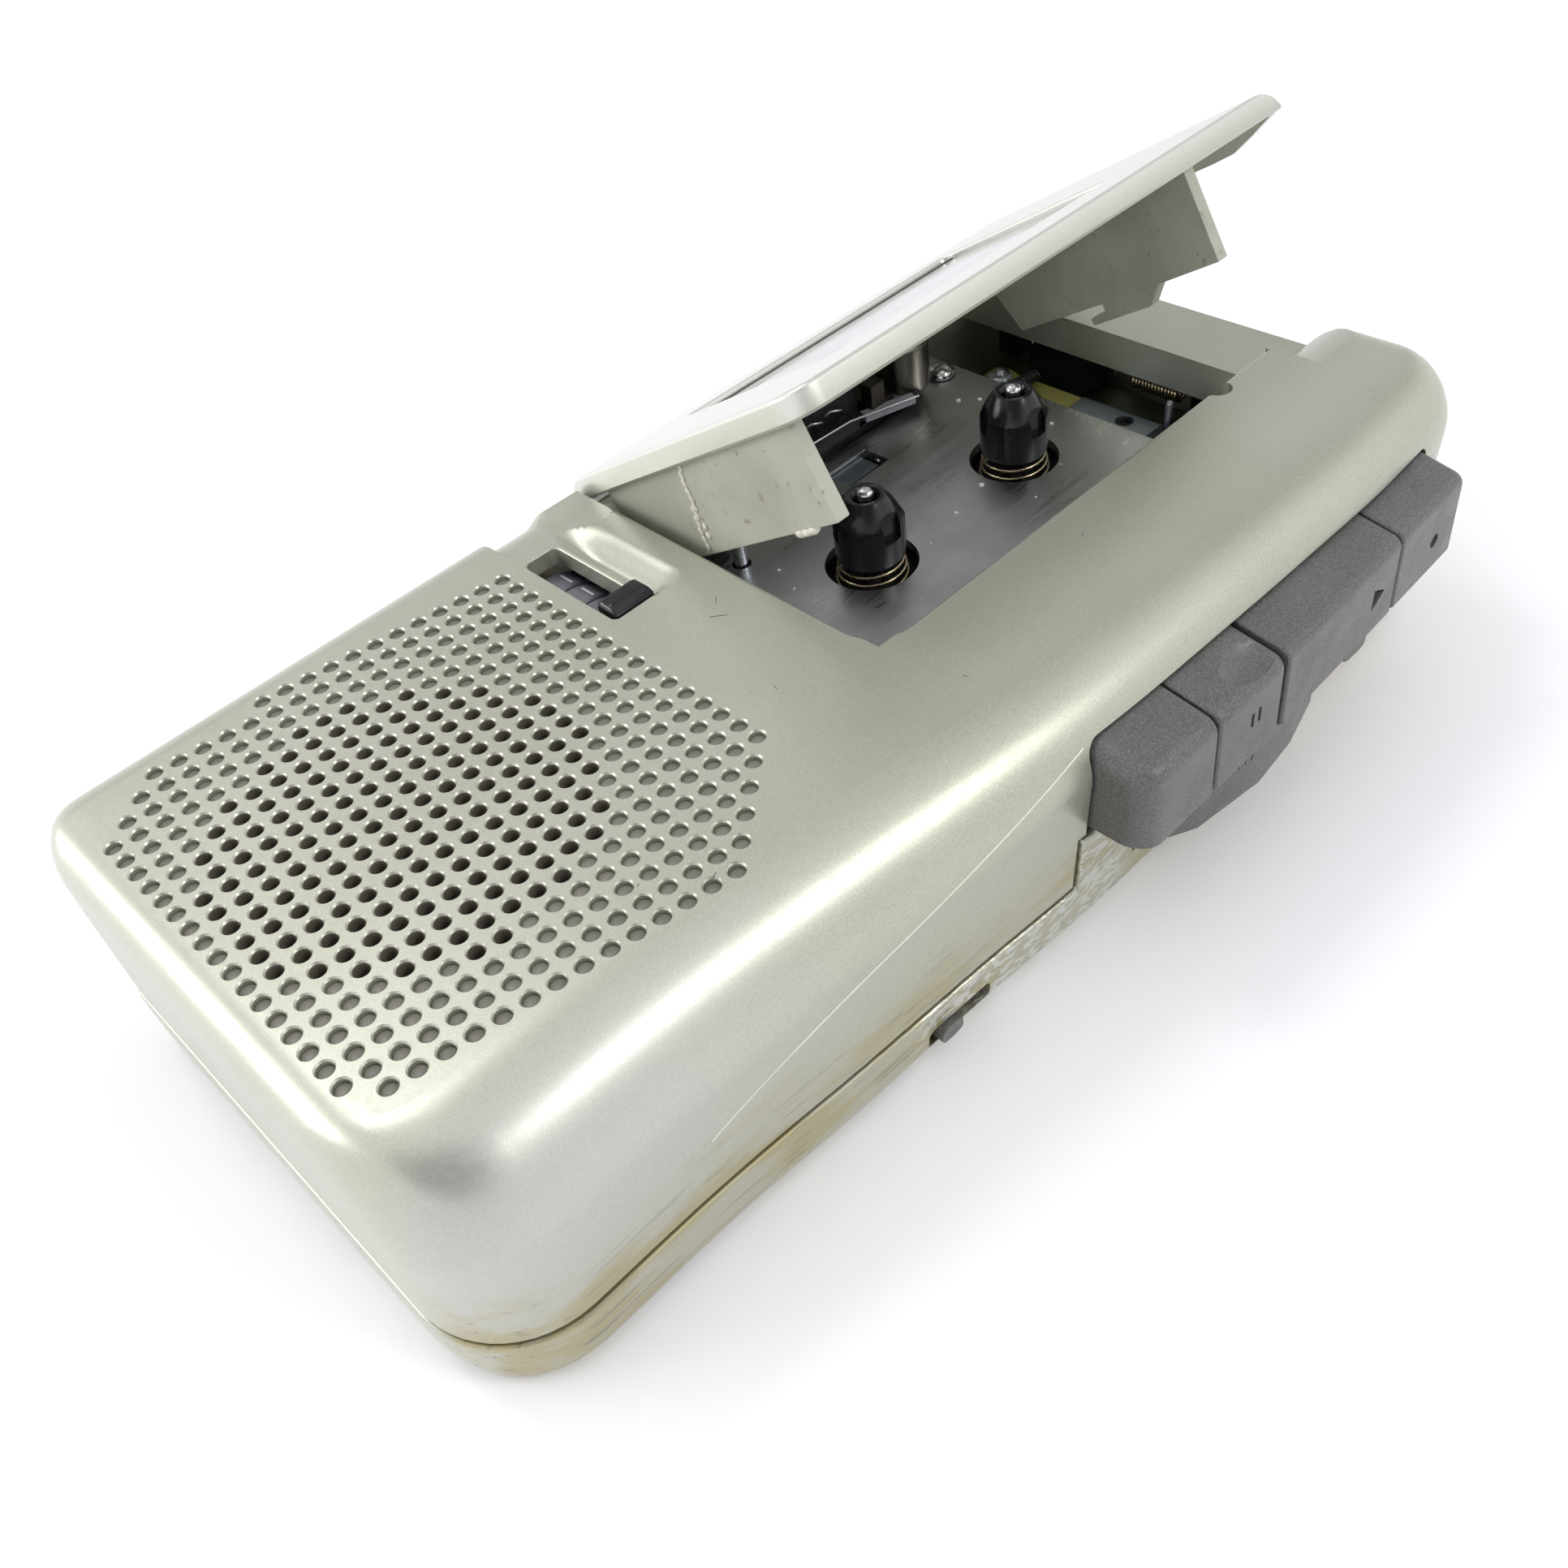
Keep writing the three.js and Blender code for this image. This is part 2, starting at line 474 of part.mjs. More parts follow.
function counterFrame() {
  const cheek = (y) => block(-17, -9.4, y, y + 0.7, 17, 22.4);
  const frame = union(cheek(13.4), cheek(25.1), block(-18, -17.2, 13.4, 25.8, 17, 22.4),
    block(-17.4, -16.9, 13.4, 14.1, 17, 22.4), block(-17.4, -16.9, 25.1, 25.8, 17, 22.4));
  return cut(frame, bar('y', 12, 27, COUNTER.x, COUNTER.z, 1, 8));
}

function counterWheel(i) {
  const y0 = COUNTER.firstY + i * COUNTER.pitch;
  const wheel = bar('y', y0, y0 + COUNTER.wheelWidth, COUNTER.x, COUNTER.z, COUNTER.r, 20);
  return cut(wheel, bar('y', y0 - 1, y0 + 4, COUNTER.x, COUNTER.z, 0.95, 8));
}

function circuitBoard() {
  const outline = polygon([[-3, -21.5], [52, -21.5], [58.6, -16], [58.6, 28], [47.2, 28], [47.2, -16.2],
    [-3, -16.2]]);
  return slab(outline, BOARD.z0, BOARD.z1);
}

// ---------------------------------------------------------------- the object
const recorder = new THREE.Group();

function add(name, solid, look, parent = recorder) {
  const material = new THREE.MeshStandardMaterial(look);
  const mesh = new THREE.Mesh(geometryOf(solid), material);
  mesh.name = name;
  parent.add(mesh);
}

add('upper_shell', upperShell(), CHAMPAGNE);
add('lower_shell', lowerShell(), CHAMPAGNE);
add('battery_door', batteryDoor(), CHAMPAGNE);
SCREWS.forEach(([x, y], i) => add(`case_screw_${i + 1}`, bar('z', 0.4, 1.7, x, y, 1.6, 12), STEEL));

const lidGroup = new THREE.Group();
lidGroup.position.set(0, LID.hingeY, LID.hingeZ);
lidGroup.rotation.x = THREE.MathUtils.degToRad(-LID.openDeg);
recorder.add(lidGroup);
const lid = lidPieces();
add('cassette_lid', lid.lid, CHAMPAGNE, lidGroup);
add('lid_window', lid.pane, CLEAR, lidGroup);
add('cassette_wing_left', lid.wingLeft, LINER, lidGroup);
add('cassette_wing_right', lid.wingRight, LINER, lidGroup);
add('lid_hinge_pin', lid.pin, STEEL, lidGroup);

KEY_ROW.forEach(([name, x0, x1], i) => add(name, key(x0, x1, i === 0), KEY_GREY));
add('cue_review_slider', cueReviewSlider(), KEY_GREY);
add('speed_switch_knob', slideKnob(-18.9, -13.9, -27.3, 2.2, 4.4), KEY_GREY);
add('voice_switch_knob', slideKnob(37.4, 41.6, -29.6, 6.2, 9), KEY_GREY);

add('chassis_plate', chassisPlate(), STEEL);
add('bearing_plate', block(-2, 39.5, 5.4, 22.6, 8, 8.8), ZINC);
PLATE_SCREWS.forEach(([x, y]) => add('plate_screw', screw(x, y, PLATE.top + 0.1, 1.2), STEEL));
for (const [side, x] of Object.entries(HUB.xs)) {
  add(`${side}_hub`, hub(x), BLACK);
  add(`${side}_spring`, coil(x, HUB.y, 14.9, 17.4, 3.9, 3, 0.22, 3), SPRING_WIRE);
  add(`${side}_turntable`, ring(x, HUB.y, 1.15, TURNTABLE.r, TURNTABLE.z0, TURNTABLE.z1, 24), RUBBER);
  const shaft = [[0, 9], [HUB.shaftR, 9], [HUB.shaftR, 24.9], [0.5, 25.3], [0, 25.4]];
  add(`${side}_shaft`, turned(x, HUB.y, shaft, 12), STEEL);
}
add('idler_wheel', ring(IDLER.x, IDLER.y, 0.9, IDLER.r, TURNTABLE.z0, TURNTABLE.z1, 18), RUBBER);
add('idler_arm', union(block(20.8, 28.4, 13.4, 23.6, 14.7, 15.4),
  bar('z', 12.6, 15, IDLER.x, IDLER.y, 0.6, 8)), ZINC);
add('flywheel', flywheel(), STEEL);
add('motor', bar('z', MOTOR.z0, MOTOR.z1, MOTOR.x, MOTOR.y, MOTOR.r, 24), STEEL);
add('motor_pulley', turned(MOTOR.x, MOTOR.y, [[0, MOTOR.z1 + 0.4], [MOTOR.pulleyR + 0.2, MOTOR.z1 + 0.4],
  [MOTOR.pulleyR, 10.9], [MOTOR.pulleyR, 12.1], [MOTOR.pulleyR + 0.2, 12.5], [0, 12.5]], 16), SPRING_WIRE);
add('drive_belt', driveBelt(), RUBBER);

add('head_bridge', block(8.8, 41.6, 26.6, 29.9, 17.15, 17.9), ZINC);
add('record_play_head', recordHead(), STEEL);
add('erase_head', union(block(31.4, 34.8, 25, 29.4, 18.2, 19.4),
  block(31.4, 33.4, 25, 26.6, 18.2, 21.6)), LINER);
add('pinch_arm', pinchArm(), BLACK);
add('pinch_roller', ring(5.9, 25.6, 0.7, 2.9, 19, 22.2, 16), RUBBER);
add('lock_bracket', cut(block(46.4, 48.8, 1.4, 10.2, 15.6, 16.4), bar('z', 15, 17, 47.8, 4, 1, 10)), ZINC);
add('bridge_spring', bar('y', 1.2, 7, 54, 17.2, 0.95, 10), SPRING_WIRE);

add('speaker_frame', speakerFrame(), STEEL);
add('speaker_cone', speakerCone(), CONE_PAPER);
add('speaker_magnet', bar('z', 16.7, 19, SPEAKER.x, SPEAKER.y, 8, 20), FERRITE);
CELL.ys.forEach((y, i) => {
  const can = bar('x', CELL.x0, CELL.x1 - 1, y, CELL.z, CELL.r, 18);
  const cap = bar('x', CELL.x1 - 1.1, CELL.x1, y, CELL.z, 2.6, 10);
  add(`battery_cell_${i + 1}`, union(can, cap), COPPER_JACKET);
});
add('battery_contact_spring', block(-58.9, -58.4, -0.8, 26.2, 3, 14), SPRING_WIRE);
add('battery_contact_plate', block(-5.9, -5.4, -0.8, 26.2, 3, 14), SPRING_WIRE);

add('counter_frame', counterFrame(), BLACK);
add('counter_axle', bar('y', 13, 26.2, COUNTER.x, COUNTER.z, 0.65, 8), STEEL);
['units', 'tens', 'hundreds'].forEach((digit, i) => add(`counter_wheel_${digit}`, counterWheel(i), BLACK));
add('counter_reset_button', block(-14.6, -10.1, 11.7, 14.2, 24, 27), BLACK);

add('circuit_board', circuitBoard(), FIBRE);
add('volume_wheel', ring(VOLUME.x, VOLUME.y, 1.2, VOLUME.r, VOLUME.z0, VOLUME.z1, 28), BLACK);
add('microphone', bar('x', 56, 59.2, 5, 18, 2.8, 14), FERRITE);
add('earphone_jack', jack(-11), BLACK);
add('microphone_jack', jack(-3), BLACK);
add('record_lamp', bar('x', 57, 61, 27.2, 14, 1.4, 10), finish(0xa01818, 0.2, 0));

export default recorder;
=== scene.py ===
import math
import random
import bpy
import bmesh
from mathutils import Matrix, Vector


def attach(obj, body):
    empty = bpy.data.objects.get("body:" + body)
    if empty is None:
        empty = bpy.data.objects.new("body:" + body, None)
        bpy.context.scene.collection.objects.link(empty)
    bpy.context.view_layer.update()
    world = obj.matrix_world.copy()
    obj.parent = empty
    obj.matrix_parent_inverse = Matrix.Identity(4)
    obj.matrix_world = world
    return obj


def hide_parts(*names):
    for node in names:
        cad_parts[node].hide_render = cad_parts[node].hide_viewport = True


# A micro-cassette voice recorder. Lengths are millimetres in the part's frame: X runs along the case from the
# loudspeaker (-X) to the jacks (+X), Y from the keys (-Y) to the lid hinge (+Y), Z up from the floor.

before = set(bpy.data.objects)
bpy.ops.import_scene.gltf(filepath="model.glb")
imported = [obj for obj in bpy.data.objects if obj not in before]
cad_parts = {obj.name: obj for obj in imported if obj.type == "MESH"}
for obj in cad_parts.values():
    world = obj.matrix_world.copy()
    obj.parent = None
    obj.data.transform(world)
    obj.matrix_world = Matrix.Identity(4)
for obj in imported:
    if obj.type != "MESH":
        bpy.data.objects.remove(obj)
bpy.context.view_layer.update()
MM = 0.001
HALF, BACK, TOP = 61.4, 33.0, 27.0  # case: half its length, back face, top face
WALL = 1.8
SEAM_Z, STEP_Z = 7, 13.2  # seam between the shells, and its raised part below the keys
PLATE_LOW, PLATE_TOP = 15.85, 16.85
REELS, REEL_Y = {"takeup": 13.5, "supply": 35.4}, 8.8  # X of each reel axis, and their common Y
HINGE_Y, HINGE_Z, LID_OPEN = 30.9, 24.9, 31.6
WHEEL_X, WHEEL_Z, WHEEL_R = -13.2, 20.15, 4.35  # counter axle and wheel radius
HOLE_R, HOLE_FLARE = 0.69, 0.12  # loudspeaker holes
THIRD_TURN = 2.0944

# ------------------------------------------------------------ mesh helpers, in millimetres


def new_object(name, data):
    obj = bpy.data.objects.new(name, data)
    bpy.context.scene.collection.objects.link(obj)
    return obj


def mesh_object(name, verts, faces):
    mesh = bpy.data.meshes.new(name)
    mesh.from_pydata([tuple(c * MM for c in v) for v in verts], [], faces)
    bm = bmesh.new()
    bm.from_mesh(mesh)
    bmesh.ops.recalc_face_normals(bm, faces=bm.faces)
    bm.to_mesh(mesh)
    bm.free()
    return new_object(name, mesh)


def stack_data(rings, loop=False):
    """Vertices and faces of a skin over rings of equal length, with end caps or closed into a loop."""
    n = len(rings[0])
    verts = [p for ring in rings for p in ring]
    faces = []
    count = len(rings)
    for i in range(count if loop else count - 1):
        j = (i + 1) % count
        for k in range(n):
            m = (k + 1) % n
            faces.append((i * n + k, j * n + k, j * n + m, i * n + m))
    if not loop:
        faces.append(tuple(range(n)))
        faces.append(tuple((count - 1) * n + k for k in range(n)))
    return verts, faces


def stack(name, rings):
    return mesh_object(name, *stack_data(rings))


def joined(name, parts):
    """One object from several (vertices, faces) pairs."""
    verts, faces = [], []
    for v, f in parts:
        base = len(verts)
        verts += v
        faces += [tuple(i + base for i in face) for face in f]
    return mesh_object(name, verts, faces)


def lift(axis, u, v, w):
    """(u, v) across, w along the axis; u, v are the other two coordinates in x, y, z order."""
    return {"x": (w, u, v), "y": (u, w, v), "z": (u, v, w)}[axis]


def prism(name, axis, a, b, outline):
    """An outline pushed along the axis from a to b."""
    return stack(name, [[lift(axis, u, v, w) for u, v in outline] for w in (a, b)])


def box(name, x0, x1, y0, y1, z0, z1):
    return prism(name, "z", z0, z1, [(x0, y0), (x1, y0), (x1, y1), (x0, y1)])


def circle(u, v, r, n=32):
    angles = [2 * math.pi * i / n for i in range(n)]
    return [(u + r * math.cos(a), v + r * math.sin(a)) for a in angles]


def lathe_data(axis, u, v, profile, n=32, loop=False):
    """A turned shape about the axis through (u, v). The profile is a list of (radius, height)."""
    rings = [[lift(axis, a, b, h) for a, b in circle(u, v, max(r, 0.01), n)] for r, h in profile]
    return stack_data(rings, loop)


def lathe(name, axis, u, v, profile, n=32, loop=False):
    return mesh_object(name, *lathe_data(axis, u, v, profile, n, loop))


def tube_data(points, r, n=10):
    """A round wire of radius r along the points."""
    pts = [Vector(p) for p in points]
    angles = [2 * math.pi * k / n for k in range(n)]
    rings = []
    side = None
    for i, p in enumerate(pts):
        d = pts[min(i + 1, len(pts) - 1)] - pts[max(i - 1, 0)]
        d.normalize()
        if side is None:
            side = d.orthogonal().normalized()
        side = (side - d * side.dot(d)).normalized()
        up = d.cross(side)
        rings.append([tuple(p + r * (math.cos(a) * side + math.sin(a) * up)) for a in angles])
    return stack_data(rings)


def tube(name, points, r, n=10):
    return mesh_object(name, *tube_data(points, r, n))


def rounded(x0, x1, y0, y1, r, n=8):
    """A rounded rectangle. r is one radius, or four from (x1, y0) anticlockwise."""
    rs = [r] * 4 if isinstance(r, (int, float)) else r
    corners = [(x1, y0, -90, 1, -1), (x1, y1, 0, 1, 1), (x0, y1, 90, -1, 1), (x0, y0, 180, -1, -1)]
    out = []
    for (cx, cy, a0, sx, sy), q in zip(corners, rs):
        for i in range(n + 1):
            a = math.radians(a0 + 90 * i / n)
            out.append((cx - sx * q + q * math.cos(a), cy - sy * q + q * math.sin(a)))
    return out


def bake(obj):
    """Applies the object's modifiers."""
    graph = bpy.context.evaluated_depsgraph_get()
    mesh = bpy.data.meshes.new_from_object(obj.evaluated_get(graph))
    old = obj.data
    obj.modifiers.clear()
    obj.data = mesh
    bpy.data.meshes.remove(old)
    return obj


def combine(obj, tools, operation="DIFFERENCE"):
    """Boolean of the object with each tool in turn. The tools are used up."""
    for tool in tools:
        mod = obj.modifiers.new("cut", "BOOLEAN")
        mod.operation = operation
        mod.solver = "MANIFOLD"
        mod.object = tool
    bake(obj)
    for tool in tools:
        bpy.data.objects.remove(tool)
    return obj


def bevel(obj, width, segments=2, angle=40):
    mod = obj.modifiers.new("bevel", "BEVEL")
    mod.width = width * MM
    mod.segments = segments
    mod.limit_method = "ANGLE"
    mod.angle_limit = math.radians(angle)
    mod.use_clamp_overlap = True
    return bake(obj)


def shade(obj, angle=35, weighted=True):
    obj.data.polygons.foreach_set("use_smooth", [True] * len(obj.data.polygons))
    obj.data.set_sharp_from_angle(angle=math.radians(angle))
    if weighted:
        mod = obj.modifiers.new("normals", "WEIGHTED_NORMAL")
        mod.mode = "FACE_AREA"
        mod.weight = 90
        mod.keep_sharp = True
    return obj


def finish(obj, mat, body, replaces=(), angle=35, weighted=True):
    """Shades the piece, gives it its material and ties it to a body of the frame."""
    shade(obj, angle, weighted)
    obj.data.materials.clear()
    obj.data.materials.append(mat)
    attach(obj, body)
    if replaces:
        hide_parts(*([replaces] if isinstance(replaces, str) else replaces))
    return obj


# ------------------------------------------------------------ materials


class Shader:
    """A small wrapper that builds one procedural node material on object coordinates in millimetres."""

    def __init__(self, name, color, rough, metal=0.0, **sockets):
        self.mat = bpy.data.materials.new(name)
        self.mat.use_nodes = True
        self.tree = self.mat.node_tree
        self.bsdf = self.tree.nodes["Principled BSDF"]
        self.set("Base Color", (*color, 1.0))
        self.set("Roughness", rough)
        self.set("Metallic", metal)
        for key, value in sockets.items():
            self.set(key.replace("_", " "), value)
        coord = self.tree.nodes.new("ShaderNodeTexCoord")
        scale = self.tree.nodes.new("ShaderNodeMapping")
        scale.inputs["Scale"].default_value = (1000, 1000, 1000)
        self.link(coord.outputs["Object"], scale.inputs["Vector"])
        self.mm = scale.outputs["Vector"]
        self.height = None

    def set(self, socket, value):
        self.bsdf.inputs[socket].default_value = value

    def link(self, a, b):
        self.tree.links.new(a, b)

    def put(self, value, socket):
        if isinstance(value, bpy.types.NodeSocket):
            self.link(value, socket)
        else:
            socket.default_value = value

    def noise(self, size, detail=3.0, rough=0.55, stretch=(1, 1, 1), distortion=0.0):
        m = self.tree.nodes.new("ShaderNodeMapping")
        m.inputs["Scale"].default_value = tuple(s / size for s in stretch)
        self.link(self.mm, m.inputs["Vector"])
        n = self.tree.nodes.new("ShaderNodeTexNoise")
        n.inputs["Scale"].default_value = 1.0
        n.inputs["Detail"].default_value = detail
        n.inputs["Roughness"].default_value = rough
        n.inputs["Distortion"].default_value = distortion
        self.link(m.outputs["Vector"], n.inputs["Vector"])
        return n.outputs["Fac"]

    def ramp(self, value, low, high, a=0.0, b=1.0):
        n = self.tree.nodes.new("ShaderNodeMapRange")
        n.interpolation_type = "SMOOTHSTEP"
        self.put(value, n.inputs["Value"])
        for key, v in (("From Min", low), ("From Max", high), ("To Min", a), ("To Max", b)):
            n.inputs[key].default_value = v
        return n.outputs["Result"]

    def math(self, op, a, b=0.0):
        n = self.tree.nodes.new("ShaderNodeMath")
        n.operation = op
        self.put(a, n.inputs[0])
        self.put(b, n.inputs[1])
        return n.outputs[0]

    def times(self, a, b):
        return self.math("MULTIPLY", a, b)

    def blend(self, fac, a, b):
        n = self.tree.nodes.new("ShaderNodeMix")
        n.data_type = "RGBA"
        self.put(fac, n.inputs["Factor"])
        self.put(a if isinstance(a, bpy.types.NodeSocket) else (*a, 1.0), n.inputs["A"])
        self.put(b if isinstance(b, bpy.types.NodeSocket) else (*b, 1.0), n.inputs["B"])
        return next(o for o in n.outputs if o.type == "RGBA")

    def axis(self, which):
        n = self.tree.nodes.new("ShaderNodeSeparateXYZ")
        self.link(self.mm, n.inputs[0])
        return n.outputs["XYZ".index(which)]

    def bump(self, height, depth, strength=1.0):
        n = self.tree.nodes.new("ShaderNodeBump")
        n.inputs["Strength"].default_value = strength
        n.inputs["Distance"].default_value = depth * MM
        self.link(height, n.inputs["Height"])
        if self.height is not None:
            self.link(self.height, n.inputs["Normal"])
        self.height = n.outputs["Normal"]
        self.link(self.height, self.bsdf.inputs["Normal"])

    def drive(self, value, socket):
        self.put(value, self.bsdf.inputs[socket])


def lin(r, g, b):
    """An sRGB colour, 0 to 255, as linear light."""
    return tuple(((c / 255 + 0.055) / 1.055) ** 2.4 if c > 10 else c / 255 / 12.92 for c in (r, g, b))


def front_tints(s, base):
    """The case front gets a painted highlight tint, cooler and paler, towards the loudspeaker's end, and
    painted shade in olive towards the keys.
    """
    # Painted highlight: the front is blended towards a neutral, paler tint towards the loudspeaker's end.
    painted_highlight_tint = s.times(s.ramp(s.axis("Y"), -16.5, -21.0), s.ramp(s.axis("X"), -15.0, -45.0))
    base = s.blend(s.times(painted_highlight_tint, 0.8), base, lin(181, 182, 177))
    # Painted shade: the front is blended towards a darker olive towards the keys.
    painted_shade = s.times(s.ramp(s.axis("Y"), -18.0, -24.0), s.ramp(s.axis("X"), -48.0, -18.0))
    return s.blend(s.times(painted_shade, 0.5), base, lin(158, 159, 141))


def gritty_edge(s, base, rough):
    """The lid is matt and gritty along its front edge."""
    front = s.ramp(s.axis("Y"), -1.0, -4.0)
    grain = s.noise(0.35, 3, 0.7)
    grit = s.times(s.ramp(grain, 0.35, 0.65), front)
    base = s.blend(s.times(front, 0.8), base, lin(128, 128, 115))
    base = s.blend(s.times(grit, 0.5), base, lin(172, 171, 156))
    s.bump(grain, 0.02, 0.3)
    return base, s.math("ADD", rough, s.times(front, 0.2))


def front_wear(s, base):
    """Low on its front the case is rubbed and streaked, with chips at the seam and at its step."""
    low = s.ramp(s.math("ADD", s.axis("Z"), s.times(s.noise(9, 3), 11.0)), 22.0, 11.5)
    front = s.times(s.ramp(s.axis("Y"), -16.0, -20.0), s.ramp(s.axis("X"), 56.0, 48.0))
    rubbed = s.times(low, front)
    base = s.blend(s.times(rubbed, 0.5), base, lin(170, 165, 140))
    gold = s.times(s.ramp(s.noise(5, 3, 0.6, (0.35, 1, 1.6)), 0.44, 0.6), rubbed)
    base = s.blend(s.times(gold, 0.8), base, lin(166, 155, 112))
    streak = s.noise(0.5, 2, 0.5, (0.04, 1, 1))
    mark = s.times(s.ramp(streak, 0.6, 0.68), rubbed)
    base = s.blend(s.times(mark, 0.55), base, lin(120, 118, 106))
    s.bump(s.times(streak, rubbed), 0.05, 0.3)
    stretch = s.times(s.ramp(s.axis("X"), -22.0, -17.0), s.ramp(s.axis("X"), 7.0, 4.0))
    at_seam = s.times(s.ramp(s.axis("Z"), 7.2, 6.4), s.times(stretch, front))
    beside = s.times(s.ramp(s.axis("X"), -0.9, -0.5), s.ramp(s.axis("X"), 5.0, 3.0))
    at_step = s.times(s.ramp(s.axis("Z"), 13.4, 13.0), s.times(front, beside))
    chip_zone = s.math("MAXIMUM", at_seam, at_step)
    chips = s.noise(1.1, 2, 0.5, (0.8, 1, 1.5), 0.6)
    chip = s.times(s.ramp(chips, 0.48, 0.56), chip_zone)
    base = s.blend(s.times(chip, 0.85), base, lin(205, 205, 198))
    s.bump(s.times(chips, chip_zone), 0.5, 0.7)
    return base


def champagne(name, on_lid=False):
    """Metallic case paint: worn on the case; on the lid paler, a painted reflection of the bright floor, and
    with a gritty edge.
    """
    coat = 1.0 if on_lid else 0.35
    s = Shader(name, lin(178, 179, 164), 0.34, 0.62, Coat_Weight=coat, Coat_Roughness=0.3)
    base = s.blend(s.ramp(s.noise(24, 2), 0.3, 0.7), lin(174, 175, 158), lin(183, 184, 169))
    # On the lid the base is blended towards near-white, a painted reflection of the bright floor seen at a
    # grazing angle.
    base = s.blend(0.8, base, lin(226, 226, 219)) if on_lid else front_tints(s, base)
    flake = s.noise(0.13, 1.0, 0.7)
    base = s.blend(s.ramp(flake, 0.3, 0.7, 0.0, 0.4), base, lin(206, 206, 194))
    rough = s.ramp(s.noise(0.6, 2), 0.3, 0.7, 0.32, 0.37)
    if on_lid:
        base, rough = gritty_edge(s, base, rough)
    else:
        base = front_wear(s, base)
    s.drive(base, "Base Color")
    s.drive(rough, "Roughness")
    s.bump(flake, 0.004, 0.25)
    return s.mat


def plastic(name, color, rough, grain=0.25, depth=0.012, spots=None, speck=0.0, **sockets):
    """Moulded plastic with a fine grain, and if asked for with stains (spots) or light flecks (speck)."""
    s = Shader(name, color, rough, 0.0, **sockets)
    darker = tuple(c * 0.9 for c in color)
    lighter = tuple(min(c * 1.1, 1) for c in color)
    base = s.blend(s.ramp(s.noise(7, 3), 0.3, 0.7), darker, lighter)
    if spots:
        base = s.blend(s.ramp(s.noise(1.3, 4, 0.6), 0.62, 0.72), base, spots)
    if speck:
        pale = tuple(min(2.6 * c, 1) for c in color)
        base = s.blend(s.ramp(s.noise(0.16, 2, 0.7), 0.42, 0.66, 0.0, speck), base, pale)
    s.drive(base, "Base Color")
    s.drive(s.ramp(s.noise(3, 2), 0.3, 0.7, rough - 0.05, rough + 0.05), "Roughness")
    s.bump(s.noise(grain, 2), depth, 0.5)
    return s.mat


def metal(name, color, rough, along=None, tarnish=None, amount=0.2):
    """Bare metal, drawn or brushed along one axis if that is given, with a cloudy tarnish."""
    s = Shader(name, color, rough, 1.0)
    stretch = {"x": (0.03, 1, 1), "y": (1, 0.03, 1), "z": (1, 1, 0.03), None: (1, 1, 1)}[along]
    line = s.noise(0.25, 2, 0.6, stretch)
    cloud = s.noise(6, 3)
    base = s.blend(s.ramp(cloud, 0.3, 0.7, 0.0, 0.6), color, tarnish or tuple(c * 0.72 for c in color))
    s.drive(base, "Base Color")
    lines, clouds = s.ramp(line, 0.3, 0.7, rough - 0.06, rough + 0.06), s.ramp(cloud, 0.3, 0.7, -0.04, 0.08)
    s.drive(s.math("ADD", lines, clouds), "Roughness")
    s.bump(line, 0.01, amount)
    return s.mat


M = {
    "paint": champagne("champagne_paint"),
    "lid_paint": champagne("lid_paint", on_lid=True),
    "liner": plastic("liner_plastic", lin(170, 170, 156), 0.5, spots=lin(140, 137, 120)),
    "key": plastic("key_plastic", lin(82, 81, 79), 0.38, grain=0.22, depth=0.05, speck=0.5),
    "black": plastic("black_plastic", lin(27, 27, 30), 0.18, grain=0.8, depth=0.004, Specular_IOR_Level=0.4),
    "dull_black": plastic("dull_black", lin(30, 30, 32), 0.5),
    "steel": metal("steel", lin(170, 174, 180), 0.3),
    "plate": metal("plate_steel", lin(198, 198, 197), 0.33, "x", lin(174, 174, 173), 0.1),
    "zinc": metal("zinc_plate", lin(150, 160, 168), 0.4, None, lin(128, 140, 152)),
    "wire": metal("spring_wire", lin(196, 182, 150), 0.24),
    "bright": metal("bright_steel", lin(214, 214, 214), 0.14),
    "ferrite": plastic("ferrite", lin(58, 58, 61), 0.55),
    "fibre": plastic("fibre_board", lin(126, 122, 66), 0.5),
    "board": plastic("circuit_board", lin(70, 68, 44), 0.5),
    "can": metal("head_can", lin(150, 146, 136), 0.3, "z"),
    "brown_can": metal("brown_can", lin(96, 90, 80), 0.35, "z"),
    "grey": plastic("grey_lever", lin(150, 153, 160), 0.4),
    "rubber": plastic("rubber", lin(28, 28, 28), 0.8),
    "paper": plastic("speaker_paper", lin(44, 43, 41), 0.85),
    "jacket": metal("cell_jacket", lin(170, 112, 60), 0.35),
    "lamp": plastic("lamp_red", lin(165, 24, 24), 0.15),
    "digit": plastic("digit_white", lin(225, 225, 222), 0.5),
    "digit_wheel": plastic("digit_wheel", lin(112, 112, 120), 0.4),
    "hole": plastic("hole_wall", lin(104, 97, 86), 0.6),
    "blind": plastic("hole_floor", lin(124, 122, 112), 0.4, grain=0.2, depth=0.03),
    # Near-white for the front crease: a painted glint along its small-radius edge.
    "crease": plastic("crease_painted_glint", lin(236, 236, 226), 0.35),
    # Dark grey for the small scratches on the case, and for the painted shade at the lid window's edge.
    "dark_scratch_and_shade": plastic("scratches_and_painted_shade", lin(92, 92, 90), 0.6),
    "glue": plastic("glue", lin(206, 204, 190), 0.3, grain=0.5, depth=0.1),
}
pane = Shader("window_clear", lin(236, 238, 238), 0.06, 0.0, Transmission_Weight=0.9, IOR=1.49)
pane.drive(pane.ramp(pane.noise(6, 3), 0.3, 0.7, 0.04, 0.12), "Roughness")
pane.bump(pane.noise(14, 2), 0.05, 0.1)
M["window"] = pane.mat

# ------------------------------------------------------------ case form


def smoothstep(a, b, x):
    t = min(max((x - a) / (b - a), 0.0), 1.0)
    return t * t * (3 - 2 * t)


